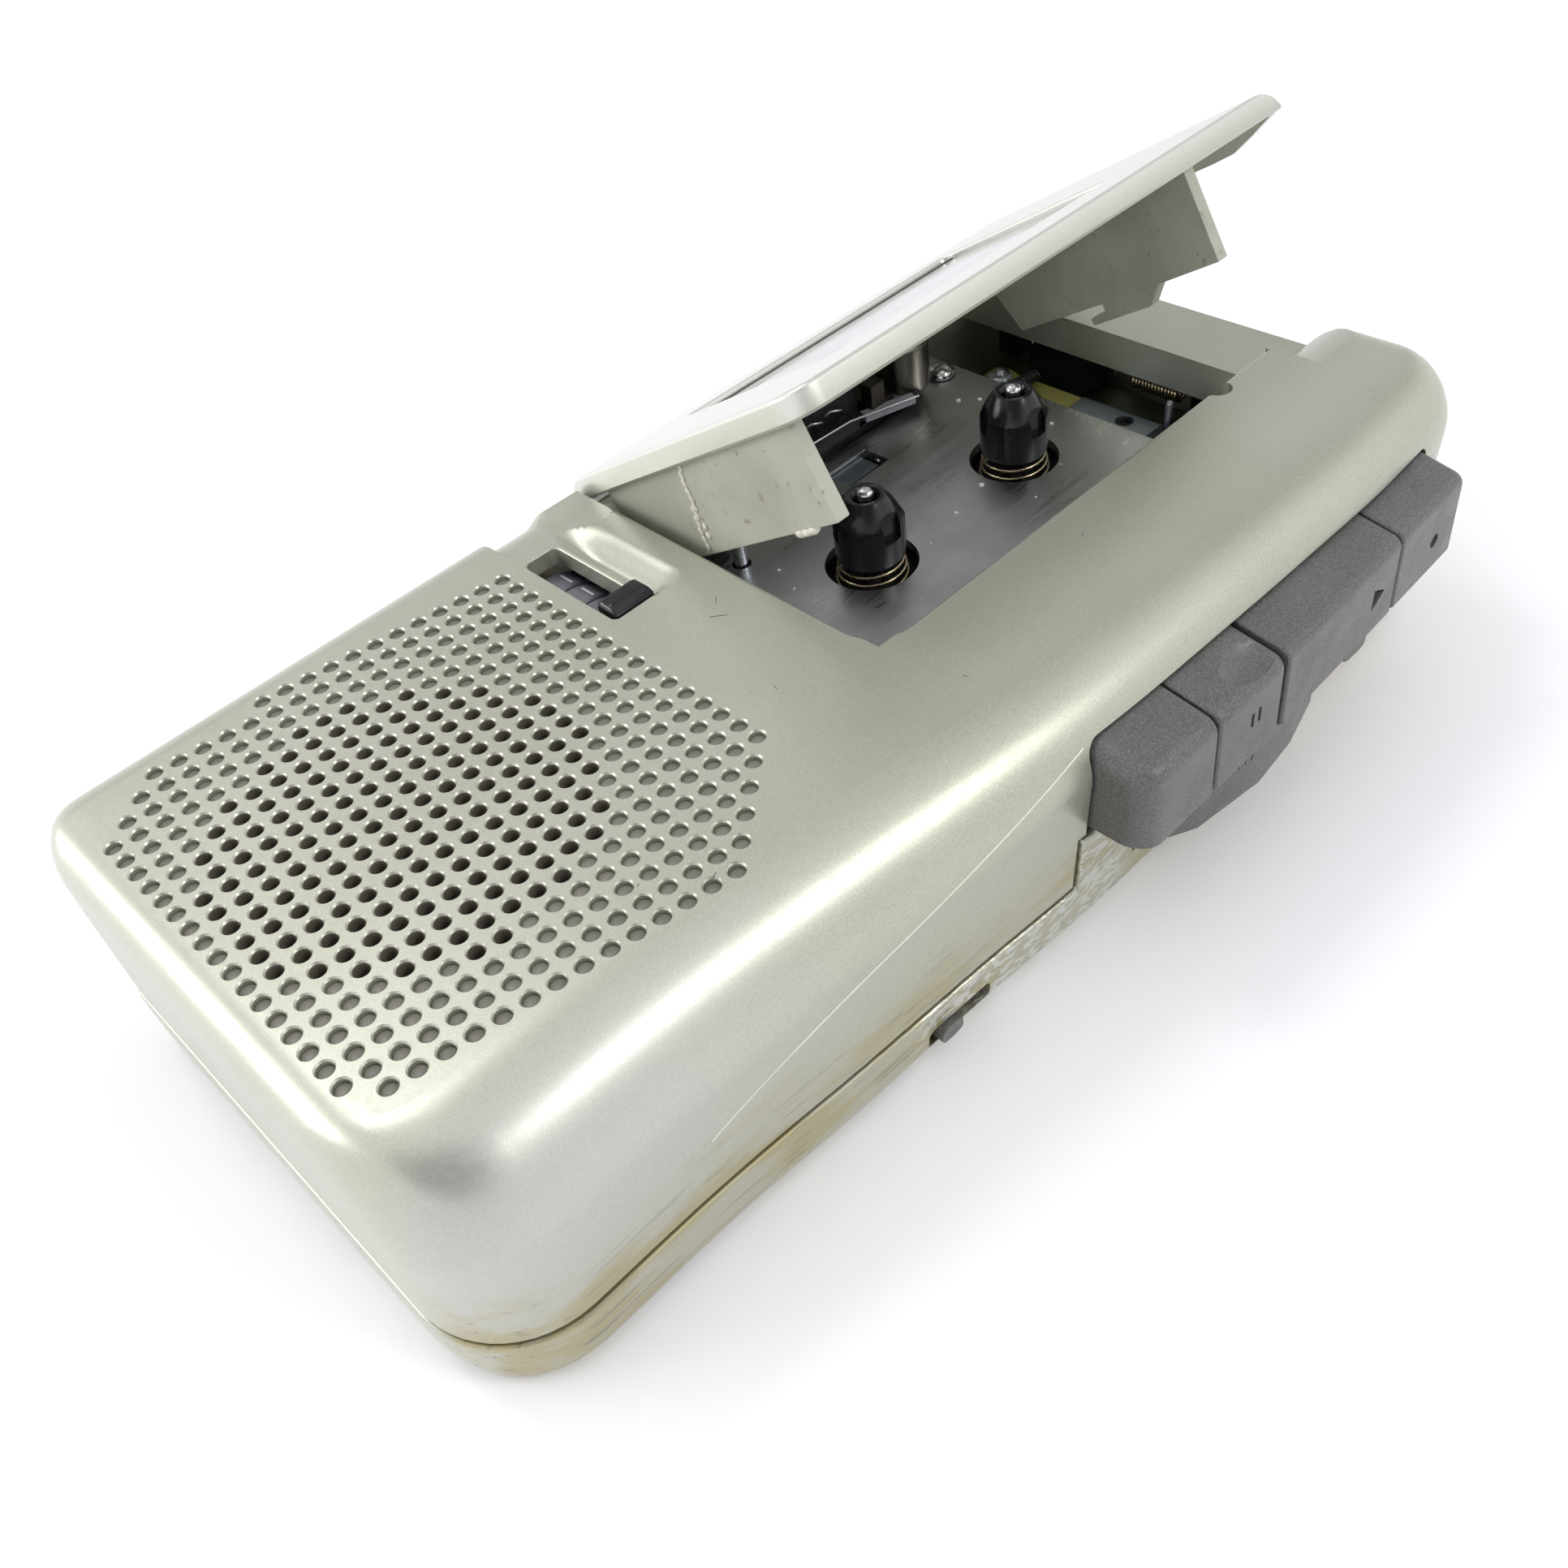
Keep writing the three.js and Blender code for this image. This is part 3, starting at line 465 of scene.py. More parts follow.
def round_off(s, r):
    """How far a corner of radius r has drawn back at distance s from the end."""
    return r - math.sqrt(max(r * r - (r - s) ** 2, 0.0)) if s < r else 0.0


def front_at(x):
    """Y of the front face. It swells towards the keys."""
    return -24.8 - 3.3 * smoothstep(-45, 8, x) + 0.9 * smoothstep(38, 60, x)


def undercut_at(x):
    """How far the foot of the front face stands back from its upper edge."""
    return 0.3 + smoothstep(-30, -8, x)


def top_radius_at(x):
    """Radius of the front top edge."""
    return 9 - 4.4 * smoothstep(-40, 45, x)


def arc(cy, cz, r, a0, a1, n):
    angles = [math.radians(a0 + (a1 - a0) * i / n) for i in range(n + 1)]
    return [(cy + r * math.cos(a), cz + r * math.sin(a)) for a in angles]


def case_section(x, inset=0.0):
    """The ring of the case's outside at x, moved in by inset."""
    s = HALF - inset - abs(x)

    def fit(r):
        return max(r - inset, 0.8)

    def plan(r):
        return round_off(s, fit(r))

    top = TOP - inset - plan(3.4)
    bottom = inset + plan(3.0)
    front = front_at(x) + inset + plan(9.0)
    foot = front + undercut_at(x)
    back = BACK - inset - plan(5.0)
    low, brow, rear = fit(3.0), fit(top_radius_at(x)), fit(4.2)
    ring = arc(foot + low, bottom + low, low, 270, 180, 6)
    ring += arc(front + brow, top - brow, brow, 180, 90, 14)
    ring += arc(back - rear, top - rear, rear, 90, 0, 9)
    ring += arc(back - low, bottom + low, low, 0, -90, 6)
    return [(x, y, z) for y, z in ring]


def case_form(name, inset=0.0):
    half = HALF - inset
    end = [0, 0.05, 0.2, 0.5, 0.9, 1.4, 2.0, 2.7, 3.5, 4.4, 5.4, 6.5, 7.7, 9.0]
    xs = [s - half for s in end]
    xs += [-half + 9 + (2 * half - 18) * i / 44 for i in range(1, 44)]
    xs += [half - s for s in reversed(end)]
    return stack(name, [case_section(x, inset) for x in xs])


def below_seam(name, shift):
    """All the room below the seam, with the step up under the keys."""
    body = box(name, -70, 70, -40, 40, -1, SEAM_Z + shift)
    return combine(body, [box("step", -0.8 - shift, 50 + shift, -40, -23.4, -1.5, STEP_Z + shift)], "UNION")


def flared(name, outline_at, z0, z1, radius, steps=6):
    """A cutter whose mouth opens in a quarter round at z1. outline_at(offset) gives its outline."""
    rings = [[(x, y, z0) for x, y in outline_at(0.0)]]
    for i in range(steps + 1):
        a = math.radians(90 * i / steps)
        offset = radius * (1 - math.cos(a))
        rings.append([(x, y, z1 - radius + radius * math.sin(a)) for x, y in outline_at(offset)])
    rings.append([(x, y, z1 + 2) for x, y in outline_at(radius)])
    return stack(name, rings)


def top_height(x, y):
    """Z of the case's top skin."""
    front, brow = front_at(x), top_radius_at(x)
    if y < front + brow:
        return TOP - brow + math.sqrt(max(brow ** 2 - (front + brow - y) ** 2, 0))
    return TOP


# ------------------------------------------------------------ upper shell

GRILLE_EDGE = [(-58, 23.6), (-51.6, 28.0), (-42.8, 27.2), (-40.8, 28.5), (-16.9, 24.6),
               (-16.9, -9.4), (-28.3, -18.6), (-56.4, -14.4), (-58, -11.5)]


def inside(x, y, poly):
    """Whether the point lies in the polygon."""
    hit = False
    for (x0, y0), (x1, y1) in zip(poly, poly[1:] + poly[:1]):
        if (y0 > y) != (y1 > y) and x < (x1 - x0) * (y - y0) / (y1 - y0) + x0:
            hit = not hit
    return hit


def grille():
    """Cutters for the loudspeaker holes, dark sleeves for the open ones and floors for the blind ones."""
    parts, sleeves, floors = [], [], []
    for i in range(20):
        x = -57.4 + 2.1 * i
        for j in range(-16, 16):
            y = 7.2 + 2.08 * j - 0.33 * (i - 8)
            if not inside(x, y, GRILLE_EDGE):
                continue
            z = top_height(x, y)
            through = math.hypot(x + 40.8, y - 6.2) < 15.6
            depth = 4.0 if through else 0.85
            r, mouth = HOLE_R, HOLE_R + HOLE_FLARE
            flare = [(r, z - depth), (r, z - 0.15), (mouth, z), (mouth, z + 0.6)]
            parts.append(lathe_data("z", x, y, flare, 16))
            if through:
                wall = [(r + 0.02, z - 1.7), (r + 0.02, z - 0.22), (r - 0.03, z - 0.24), (r - 0.03, z - 1.7)]
                sleeves.append(lathe_data("z", x, y, wall, 16, True))
            else:
                disc = [(r - 0.02, z - 0.95), (r - 0.02, z - 0.54), (r - 0.1, z - 0.48)]
                floors.append(lathe_data("z", x, y, disc, 16))
    names = ("grille_cutters", "grille_hole_sleeves", "grille_blind_floors")
    return [joined(name, data) for name, data in zip(names, (parts, sleeves, floors))]


def scoop():
    """The soft hollow beside the counter window."""
    rings = []
    for i in range(31):
        y = 11.0 + 0.55 * i
        depth = 1.35 * smoothstep(10.8, 13.0, y) * (1 - smoothstep(20.5, 28, y))
        ring = []
        for k in range(21):
            t = k / 20
            shape = math.sin(math.pi * t ** 0.55) ** 2 if 0 < t < 1 else 0.0
            ring.append((-11.0 + 4.5 * t, y, TOP + 0.02 - depth * shape))
        ring += [(-6.3, y, TOP + 1.5), (-11.4, y, TOP + 1.5)]
        rings.append(ring)
    return stack("scoop", rings)


def low_strip():
    """The strip behind the counter, a little below the raised loudspeaker panel."""
    path = [(23.6, -9.0, -0.02), (24.3, -13.2, 0.06), (25.0, -14.4, 0.14), (25.8, -14.9, 0.22),
            (27.0, -15.15, 0.3)]
    for y in (28, 29, 30, 30.8, 31.5, 32.1, 32.5, 32.8, 32.95, 33, 33.4):
        path.append((y, -15.2, 6.5 - 6.2 * math.sqrt(max(1 - ((y - 27) / 6) ** 2, 0))))
    rings = []
    for y, left, drop in path:
        z = TOP - drop
        hump = min(max(z, TOP - 0.1), z + 0.9 * smoothstep(27, 29.5, y))
        low_side = [(left, y, z + 0.3), (left, y, z + 0.12), (left + 0.12, y, z + 0.03), (left + 0.35, y, z)]
        over_pin = [(-10.2, y, z), (-8.6, y, hump), (-3.4, y, hump)]
        rings.append(low_side + over_pin + [(-3.4, y, TOP + 2), (left, y, TOP + 2)])
    return stack("low_strip", rings)


holes, hole_sleeves, blind_floors = grille()
finish(hole_sleeves, M["hole"], "case", (), 60, False)
finish(blind_floors, M["blind"], "case", (), 60, False)


def upper_shell():
    shell = case_form("upper_shell_look")
    combine(shell, [case_form("inner", WALL), below_seam("below", 0.2)])
    bevel(shell, 0.25, 2, 60)
    outer = box("well_outer", -5.5, 53.3, -10.8, 32, 17.2, 25.7)
    shelf = box("shelf", 51.8, 60.4, -10.8, 31.8, 21.5, 23.5)
    shelf_front = box("shelf_front", 51.8, 60.4, -14.5, -9.3, 21.5, 26)
    for piece in (outer, shelf, shelf_front):
        combine(piece, [case_form("limit", 0.3)], "INTERSECT")
    combine(shell, [outer, shelf, shelf_front], "UNION")

    def well_outline(o):
        return rounded(-4 - o, 51.8, -9.3 - o, 30.5, [0.05, 0.05, 0.05, 3.8 + o], 14)

    def window_outline(o):
        return rounded(-15 - o, -11.4 + o, 13.6 - o, 24.4 + o, 0.8 + o, 6)

    def slot_outline(o):
        return rounded(-15 - o, -9.7 + o, 11.3 - o, 14.6 + o, 0.6 + o, 6)

    well = flared("well", well_outline, 0, TOP, 0.7)
    slope = [(-15.2, 27.2), (-14.9, 26.98), (-14.0, 26.7), (-12.0, 25.75), (-10.4, 24.55), (-9.6, 23.8),
             (-9.3, 23.5)]
    ramp = prism("ramp", "x", 52.2, 64, slope + [(40, 23.5), (40, 29), (-15.2, 29)])
    lip = box("lip", 50.8, 54.8, -9.3, 30.5, 0, 19.1)
    back = box("back", -4, 70, -9.3, 40, 23.2, 29)
    recess = box("recess", 60.1, 64, -9.2, 29.2, 22.5, 29)
    notch = prism("notch", "z", 22.8, 29, circle(43.3, -9.6, 1.35, 20))
    combine(shell, [well, ramp, lip, back, recess, notch, low_strip()])
    window = flared("window", window_outline, 22, TOP, 0.22, 4)
    slot = flared("reset_slot", slot_outline, 22, TOP, 0.15, 4)
    combine(shell, [scoop()])
    combine(shell, [window, slot])
    keys = prism("keys", "y", -40, -21, rounded(-0.2, 50.2, 13.5, 23.5, [0.3, 1.0, 1.6, 0.3], 5))
    tools = [keys]
    for y in (-11, -3):
        tools.append(lathe("jack_hole", "x", y, 15.2, [(2.9, 56.4), (2.9, 61.0), (3.3, 61.6)], 24))
    tools.append(box("wheel_slot", 55, 62.4, 11.6, 22.4, 13.7, 17.1))
    tools.append(lathe("lamp_hole", "x", 27.2, 14, [(1.7, 56.4), (1.7, 62.4)], 20))
    tools += [box("mic_slot", 56.4, 62.4, y, y + 0.8, 15.6, 20.4) for y in (3.2, 4.7, 6.2)]
    combine(shell, tools)
    combine(shell, [holes])
    lug = lathe("lug", "x", HINGE_Y, HINGE_Z, [(1.15, 55), (1.15, 57.5)], 20)
    combine(lug, [box("lug_foot", 55, 57.5, 29.8, 32, 21.6, HINGE_Z)], "UNION")
    combine(shell, [lug], "UNION")
    return shell


finish(upper_shell(), M["paint"], "case", "upper_shell", 18)


def lower_shell():
    shell = case_form("lower_shell_look", -0.18)
    combine(shell, [below_seam("below", -0.12)], "INTERSECT")
    combine(shell, [box("ground", -70, 70, -40, 40, -2, 0)])
    bevel(shell, 0.45, 3, 60)
    combine(shell, [case_form("inner", WALL)])
    door = box("door", -70, -6, -3, 28.6, -1, 2.1)
    tools = [door, box("slider", 7, 35.2, -40, -21, 5, 14), box("voice", 37.3, 44.7, -40, -22, 5.6, 9.6),
             prism("speed", "y", -40, -21, rounded(-18.6, -11.2, 1.8, 4.0, 0.6, 4))]
    tools += [lathe("screw_well", "z", x, y, [(1.9, -1), (1.9, 2.2)], 24) for x, y in ((-54, -13), (54, -15))]
    combine(shell, tools)
    return shell


finish(lower_shell(), M["paint"], "case", "lower_shell", 30)

# ------------------------------------------------------------ lid, modelled closed and then opened


def opened(obj):
    """Turns a piece modelled on the closed lid to where it stands at rest."""
    hinge = Vector((0, HINGE_Y * MM, HINGE_Z * MM))
    swing = Matrix.Rotation(-math.radians(LID_OPEN), 4, "X")
    obj.data.transform(Matrix.Translation(hinge) @ swing @ Matrix.Translation(-hinge))
    return obj


def lid():
    def outline(o):
        return rounded(-3.3 + o, 66, -8.7 + o, 40, [0.05, 0.05, 0.05, 3.0], 10)

    rings = [[(x, y, 24.7) for x, y in outline(0.25)], [(x, y, 24.95) for x, y in outline(0.0)]]
    for i in range(6):
        a = math.radians(90 * i / 5)
        rings.append([(x, y, 26.6 + 0.4 * math.sin(a)) for x, y in outline(0.4 - 0.4 * math.cos(a))])
    body = stack("cassette_lid_look", rings)
    combine(body, [case_form("limit")], "INTERSECT")
    knuckle = lathe("knuckle", "x", HINGE_Y, HINGE_Z, [(1.2, -3.3), (1.2, 54.7)], 24)
    combine(body, [knuckle], "UNION")
    edge = [(-8.2, 26), (-7.7, 24.5), (-5.3, 23.6), (-2.6, 22.75), (0, 22.65), (28.5, 22.65), (28.5, 26)]
    skirt = prism("skirt", "x", 60.2, 61.4, edge)
    combine(body, [combine(skirt, [case_form("limit")], "INTERSECT")], "UNION")
    hollow = box("hollow", -2.5, 60.2, -7.1, 29.3, 23, 25.7)
    glass = flared("glass", lambda o: rounded(7 - o, 45 + o, -1.1 - o, 23.4 + o, 1.2 + o, 6), 22, TOP, 0.3, 4)
    room = box("room", 54.7, 57.8, 28.9, 36, 20, 26.25)
    combine(body, [hollow, glass, room, box("end", 61.4, 70, -12, 40, 20, 30)])
    return opened(body)


finish(lid(), M["lid_paint"], "lid", "cassette_lid", 30)
inner_frame = prism("lid_inner_frame", "z", 24.75, 25.75, rounded(0.4, 48.2, -6.2, 27.4, 1.6, 6))
combine(inner_frame, [box("opening", 7, 45, -1.1, 23.4, 24, 27)])
finish(opened(bevel(inner_frame, 0.2, 2)), M["liner"], "lid", ())
window_pane = prism("lid_window_look", "z", 25.6, 26.4, rounded(7.2, 44.8, -0.9, 23.2, 1.1, 6))
finish(opened(bevel(window_pane, 0.15, 2)), M["window"], "lid", "lid_window")


def wing(name, x0, low_edge, lug=None):
    """One of the two cheeks under the lid that hold the cassette."""
    outline = [(-5.3, 25.6)] + low_edge + [(low_edge[-1][0], 25.6)]
    body = prism(name, "x", x0, x0 + 1.5, outline)
    if lug:
        combine(body, [box("lug", *lug)], "UNION")
    bevel(body, 0.16, 2)
    return opened(body)


LEFT_EDGE = [(-5.1, 16.0), (19.5, 16.0), (27.2, 20.6)]
RIGHT_EDGE = [(-5.1, 15.4), (2.6, 15.4), (4.6, 13.6), (12.6, 13.7), (12.6, 14.5),
              (10.4, 14.6), (10.4, 15.5), (22.6, 15.8), (24.0, 20.6)]
left = wing("cassette_wing_left_look", -2.4, LEFT_EDGE, (-1.1, -0.4, -0.3, 3.7, 16.0, 17.2))
finish(left, M["liner"], "lid", "cassette_wing_left")
right = wing("cassette_wing_right_look", 49.5, RIGHT_EDGE)
finish(right, M["liner"], "lid", "cassette_wing_right")

# A dark strip along the hinge-side edge of the lid's window and a patch at its corner: painted shade of the
# window recess.
line = box("window_edge_painted_shade", 7.1, 44.9, 22.5, 23.3, 26.35, 26.5)
combine(line, [box("window_corner_painted_shade", 7.1, 8.6, 20.8, 23.3, 26.35, 26.5)], "UNION")
finish(opened(line), M["dark_scratch_and_shade"], "lid", ())


def lump(x, y, z, r, seed):
    """A small uneven blob."""
    local = random.Random(seed)
    rings = []
    for i in range(7):
        a = math.pi * (0.06 + 0.88 * i / 6)
        ring = []
        for k in range(10):
            t = 2 * math.pi * k / 10
            u = x + r[0] * math.sin(a) * math.cos(t) * local.uniform(0.8, 1.15)
            v = y + r[1] * math.sin(a) * math.sin(t) * local.uniform(0.8, 1.15)
            ring.append((u, v, z - r[2] * math.cos(a)))
        rings.append(ring)
    return stack_data(rings)


blobs = [lump(-2.1, -1.2 + 0.9 * i, 15.9, (0.5, 0.7, 0.45), 30 + i) for i in range(3)]
for i in range(11):
    blobs.append(lump(-2.45, 12.6 + 0.25 * i + 0.2 * math.sin(i), 24.4 - 0.75 * i, (0.14, 0.3, 0.5), 40 + i))
for i in range(4):
    blobs.append(lump(-2.45, 14.1 + 0.4 * math.sin(2 * i), 20.5 - 0.9 * i, (0.16, 0.35, 0.35), 60 + i))
finish(opened(joined("wing_glue", blobs)), M["glue"], "lid", (), 50)

# ------------------------------------------------------------ keys


def face_at(x):
    """Y of the keys' front faces."""
    return -33 + 1.1 * max(x - 19, 0) / 30


def bowl(name, centre, radii):
    """An ellipsoid, to cut a finger dish."""
    cx, cy, cz = centre
    rx, ry, rz = radii
    rings = []
    for i in range(25):
        a = math.pi * (0.02 + 0.96 * i / 24)
        across, height = math.sin(a), cz - rz * math.cos(a)
        rings.append([(cx + rx * across * u, cy + ry * across * v, height) for u, v in circle(0, 0, 1, 40)])
    return stack(name, rings)


def key(name, x0, x1, left_round, edge, right_round=0.3):
    """A key between x0 and x1. edge is the radius along its front top, the others are at its two ends."""
    xs = [x0 + left_round * t for t in (0, 0.02, 0.08, 0.18, 0.32, 0.5, 0.72, 1.0)]
    xs += [x0 + left_round + (x1 - right_round - x0 - left_round) * i / 6 for i in range(1, 6)]
    xs += [x1 - right_round * t for t in (1.0, 0.6, 0.3, 0.1, 0.0)]
    rings = []
    for x in xs:
        pull = round_off(x - x0, left_round) + round_off(x1 - x, right_round)
        front = face_at(x) + pull
        top = 23.2 - 0.8 * pull
        kink = top - 0.75
        lift_up = 0.3 * min(pull, 1)
        ring = [(-22, 14 + lift_up), (front + 0.3, 14 + lift_up), (front, 14.3 + lift_up)]
        ring += arc(front + edge + 0.05, kink - edge, edge, 180, 97, 8)
        ring += [(min(-27.4 + 0.2 * pull, -24), top), (-22, top)]
        rings.append([(x, y, z) for y, z in ring])
    return stack(name, rings)


def key_pieces():
    stop = key("stop_eject_key_look", 0.1, 9.35, 2.2, 1.5)
    pause = key("pause_key_look", 9.65, 19.15, 0.35, 1.3, 0.9)
    dish = bowl("dish", (16.2, -31.3, 26.9), (6.2, 3.9, 5.0))
    bars = [box("bar", 14.2 + 1.0 * i, 14.6 + 1.0 * i, -34, -32.7, 17.9, 19.4) for i in (0, 1)]
    combine(pause, [dish] + bars)
    play = key("play_key_look", 19.45, 38.15, 0.35, 1.1)
    arrow = prism("arrow", "y", -34, -31.9, [(33.9, 16.9), (33.9, 19.3), (36.0, 18.1)])
    combine(play, [arrow])
    record = key("record_key_look", 38.45, 49.9, 0.35, 1.1, 0.8)
    combine(record, [lathe("dot", "y", 45.3, 17.6, [(0.7, -34), (0.7, -31.7)], 24)])
    return {"stop_key": stop, "pause_key": pause, "play_key": play, "record_key": record}


for body, obj in key_pieces().items():
    node = "stop_eject_key" if body == "stop_key" else body
    finish(obj, M["key"], body, node, 32)

slider_plan = [(10, -24.2), (10, -28.8), (12.5, -30.1), (20.5, -31.1), (26.5, -30.5), (32.4, -29.0),
               (32.4, -24.2)]
slider = prism("cue_review_slider_look", "z", 5.4, 12.9, slider_plan)
grooves = []
for i in range(11):
    x, y = 0.8 * i, -29.85 - 0.09 * i
    groove = [(10.7 + x, -33), (10.95 + x, y), (11.1 + x, y), (11.35 + x, -33)]
    grooves.append(prism("rib", "z", 9.2, 14, groove))
combine(slider, grooves)
finish(bevel(slider, 0.22, 2, 30), M["key"], "cue_slider", "cue_review_slider")


def knob(name, x0, x1, y0, z0, z1):
    """A small switch knob with a rounded cap, on a stem that runs into the case."""
    m, w, h = (x0 + x1) / 2, 0.5 * (x1 - x0 - 0.4), (z1 - z0) / 2
    cap = []
    for point in circle(0, 0, 1, 28):
        across, up = (math.copysign(abs(c) ** 0.6, c) for c in point)
        cap.append((m + w * across, z0 + h + h * up))
    tab = prism(name, "y", y0, y0 + 3, cap)
    combine(tab, [box("stem", m - 0.8, m + 0.8, y0 + 2.9, -20.5, z0 + 0.3, z1 - 0.3)], "UNION")
    return bevel(tab, 0.5, 4, 50)


for what, place in (("speed", (-17.9, -14.9, -26.5, 2.1, 3.7)), ("voice", (37.4, 41.6, -29.2, 6.4, 8.4))):
    node = what + "_switch_knob"
    finish(knob(node + "_look", *place), M["key"], what + "_knob", node)

# ------------------------------------------------------------ transport


def chassis():
    plate = box("chassis_plate_look", -3.4, 46, -13.6, 30.2, PLATE_LOW, PLATE_TOP)
    tools = [box("wing_gap", -5, 0, -7, 22.5, 15, 18),
             box("window", 21.6, 27.6, 19.4, 22.8, 15, 18),
             prism("slot", "z", 15, 18, rounded(22, 36, 24.8, 26.2, 0.65, 6)),
             prism("capstan", "z", 15, 18, circle(5.6, 19.2, 1.0))]
    tools += [prism("hub", "z", 15, 18, circle(x, REEL_Y, 4.65, 48)) for x in REELS.values()]
    tools.append(prism("screw", "z", 15, 18, circle(43.6, 26, 0.9, 16)))
    combine(plate, tools)
    return bevel(plate, 0.1, 2)


finish(chassis(), M["plate"], "case", "chassis_plate")
brake_slide = bevel(box("brake_slide", 21.7, 26.7, 20.1, 22.7, PLATE_LOW, 16.4), 0.1, 2)
finish(brake_slide, M["zinc"], "case", ())


def reel(side, x):
    """A hub with three flats and three fins, the spring it sits on and the shaft it turns about."""
    skirt = [(1.15, 17.9), (3.25, 17.9), (3.45, 18.1), (3.45, 22.0), (3.3, 22.4), (2.95, 23.2), (2.3, 24.2),
             (1.95, 24.65), (1.75, 24.7), (1.45, 24.6), (1.15, 24.2)]
    look = lathe(side + "_hub_look", "z", x, REEL_Y, skirt, 40, True)

    def turned(angle, u, v):
        ca, sa = math.cos(angle), math.sin(angle)
        return x + ca * u - sa * v, REEL_Y + sa * u + ca * v

    flats, fins = [], []
    corners = ((2.75, -1.1), (5, -1.1), (5, 1.1), (2.75, 1.1))
    for i in range(3):
        plan = [turned(0.5 + i * THIRD_TURN, u, v) for u, v in corners]
        flats.append(prism("flat", "z", 20.6, 26, plan))
    combine(look, flats)
    for i in range(3):
        side_view = [(3.2, 18.6), (3.62, 18.7), (3.62, 21.8), (2.5, 23.9), (2.2, 24.0)]
        rings = [[(*turned(1.55 + i * THIRD_TURN, r, w), z) for r, z in side_view] for w in (-0.28, 0.28)]
        fins.append(stack("fin", rings))
    combine(look, fins, "UNION")
    bevel(look, 0.07, 2, 40)
    finish(look, M["black"], side + "_reel", side + "_hub", 30)
    turns, pts = 3.2, []
    steps = int(turns * 28)
    for i in range(steps + 1):
        t = i / steps
        a = t * turns * 2 * math.pi
        r = 3.65 - 0.5 * t
        pts.append((x + r * math.cos(a), REEL_Y + r * math.sin(a), 15.0 + 2.75 * t))
    spring = tube(side + "_spring_look", pts, 0.17, 10)
    finish(spring, M["wire"], side + "_reel", side + "_spring", 60, False)
    shaft = [(0.85, 9), (0.85, 24.75), (0.8, 24.95), (0.66, 25.15), (0.42, 25.3), (0.2, 25.37), (0.02, 25.4)]
    pin = lathe(side + "_shaft_look", "z", x, REEL_Y, shaft, 24)
    finish(pin, M["bright"], "case", side + "_shaft", 40, False)


for side, x in REELS.items():
    reel(side, x)

# Nodes that keep the frame's own shape, under the material each one gets.
plain = {
    "brown_can": ["erase_head"], "paint": ["battery_door"],
    "steel": ["case_screw_1", "case_screw_2", "lid_hinge_pin", "flywheel", "motor", "speaker_frame",
              "counter_axle"],
    "zinc": ["bearing_plate", "idler_arm", "head_bridge"],
    "wire": ["motor_pulley", "battery_contact_spring", "battery_contact_plate"],
    "dull_black": ["pinch_arm", "volume_wheel", "earphone_jack", "microphone_jack"],
    "ferrite": ["speaker_magnet", "microphone"], "board": ["circuit_board"],
    "rubber": ["takeup_turntable", "supply_turntable", "idler_wheel", "drive_belt", "pinch_roller"],
    "paper": ["speaker_cone"], "jacket": ["battery_cell_1", "battery_cell_2"],
}
for key_name, names in plain.items():
    for n in names:
        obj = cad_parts[n]
        obj.data.materials.clear()
        obj.data.materials.append(M[key_name])

# ------------------------------------------------------------ counter


def reset_button():
    rings = []
    levels = ((23.8, 0, 0), (26.9, 0, 0), (27.25, 0.1, 0.35), (27.5, 0.35, 0.8), (27.55, 0.5, 1.0))
    for z, inset, lean in levels:
        plan = rounded(-14.7 + inset, -10.2 - inset, 11.6 + 0.3 * inset, 14.3 - inset, 0.3, 3)
        rings.append([(x, y + lean * (y < 12.5), z) for x, y in plan])
    return stack("reset_button_look", rings)


finish(reset_button(), M["black"], "reset_button", "counter_reset_button", 40)


def digits(wheel, body, y_mid):
    """Ten digits round one counter wheel, wrapped on its rim."""
    parts = []
    on_rim = Matrix.Translation((0, 0, (WHEEL_R + 0.01) * MM)) @ Matrix.Rotation(math.pi, 4, "Z")
    for n in range(10):
        data = bpy.data.curves.new("digit", "FONT")
        data.body = str(n)
        data.size = 2.5 * MM
        data.align_x = data.align_y = "CENTER"
        data.extrude = 0.02 * MM
        obj = new_object("digit", data)
        bpy.context.view_layer.update()
        mesh = bpy.data.meshes.new_from_object(obj)
        bpy.data.objects.remove(obj)
        angle = math.radians(36 * n - 20)
        place = Matrix.Translation((WHEEL_X * MM, y_mid * MM, WHEEL_Z * MM)) @ Matrix.Rotation(angle, 4, "Y")
        mesh.transform(place @ on_rim)
        parts.append(mesh)
    bm = bmesh.new()
    for mesh in parts:
        bm.from_mesh(mesh)
        bpy.data.meshes.remove(mesh)
    mesh = bpy.data.meshes.new(wheel + "_digits")
    bm.to_mesh(mesh)
    bm.free()
    finish(new_object(wheel + "_digits", mesh), M["digit"], body, angle=30, weighted=False)


for i, label in enumerate(("units", "tens", "hundreds")):
    low, body = 15.3 + 3.1 * i, "counter_" + label
    rim = [(0.95, low), (4.2, low), (WHEEL_R, low + 0.15), (WHEEL_R, low + 2.65), (4.2, low + 2.8),
           (0.95, low + 2.8)]
    wheel = lathe("counter_wheel_" + label + "_look", "y", WHEEL_X, WHEEL_Z, rim, 48, True)
    finish(wheel, M["digit_wheel"], body, "counter_wheel_" + label, 40)
    digits("counter_wheel_" + label, body, low + 1.4)
frame_parts = [box("cheek", -17, -9.4, y, y + 0.7, 17, 22.4) for y in (13.4, 25.1)]
frame_parts.append(box("back", -18.5, -17.8, 13.4, 25.8, 17, 22.4))
frame_parts += [box("web", -18.0, -16.9, y, y + 0.7, 17, 22.4) for y in (13.4, 25.1)]
counter_frame = combine(frame_parts[0], frame_parts[1:], "UNION")
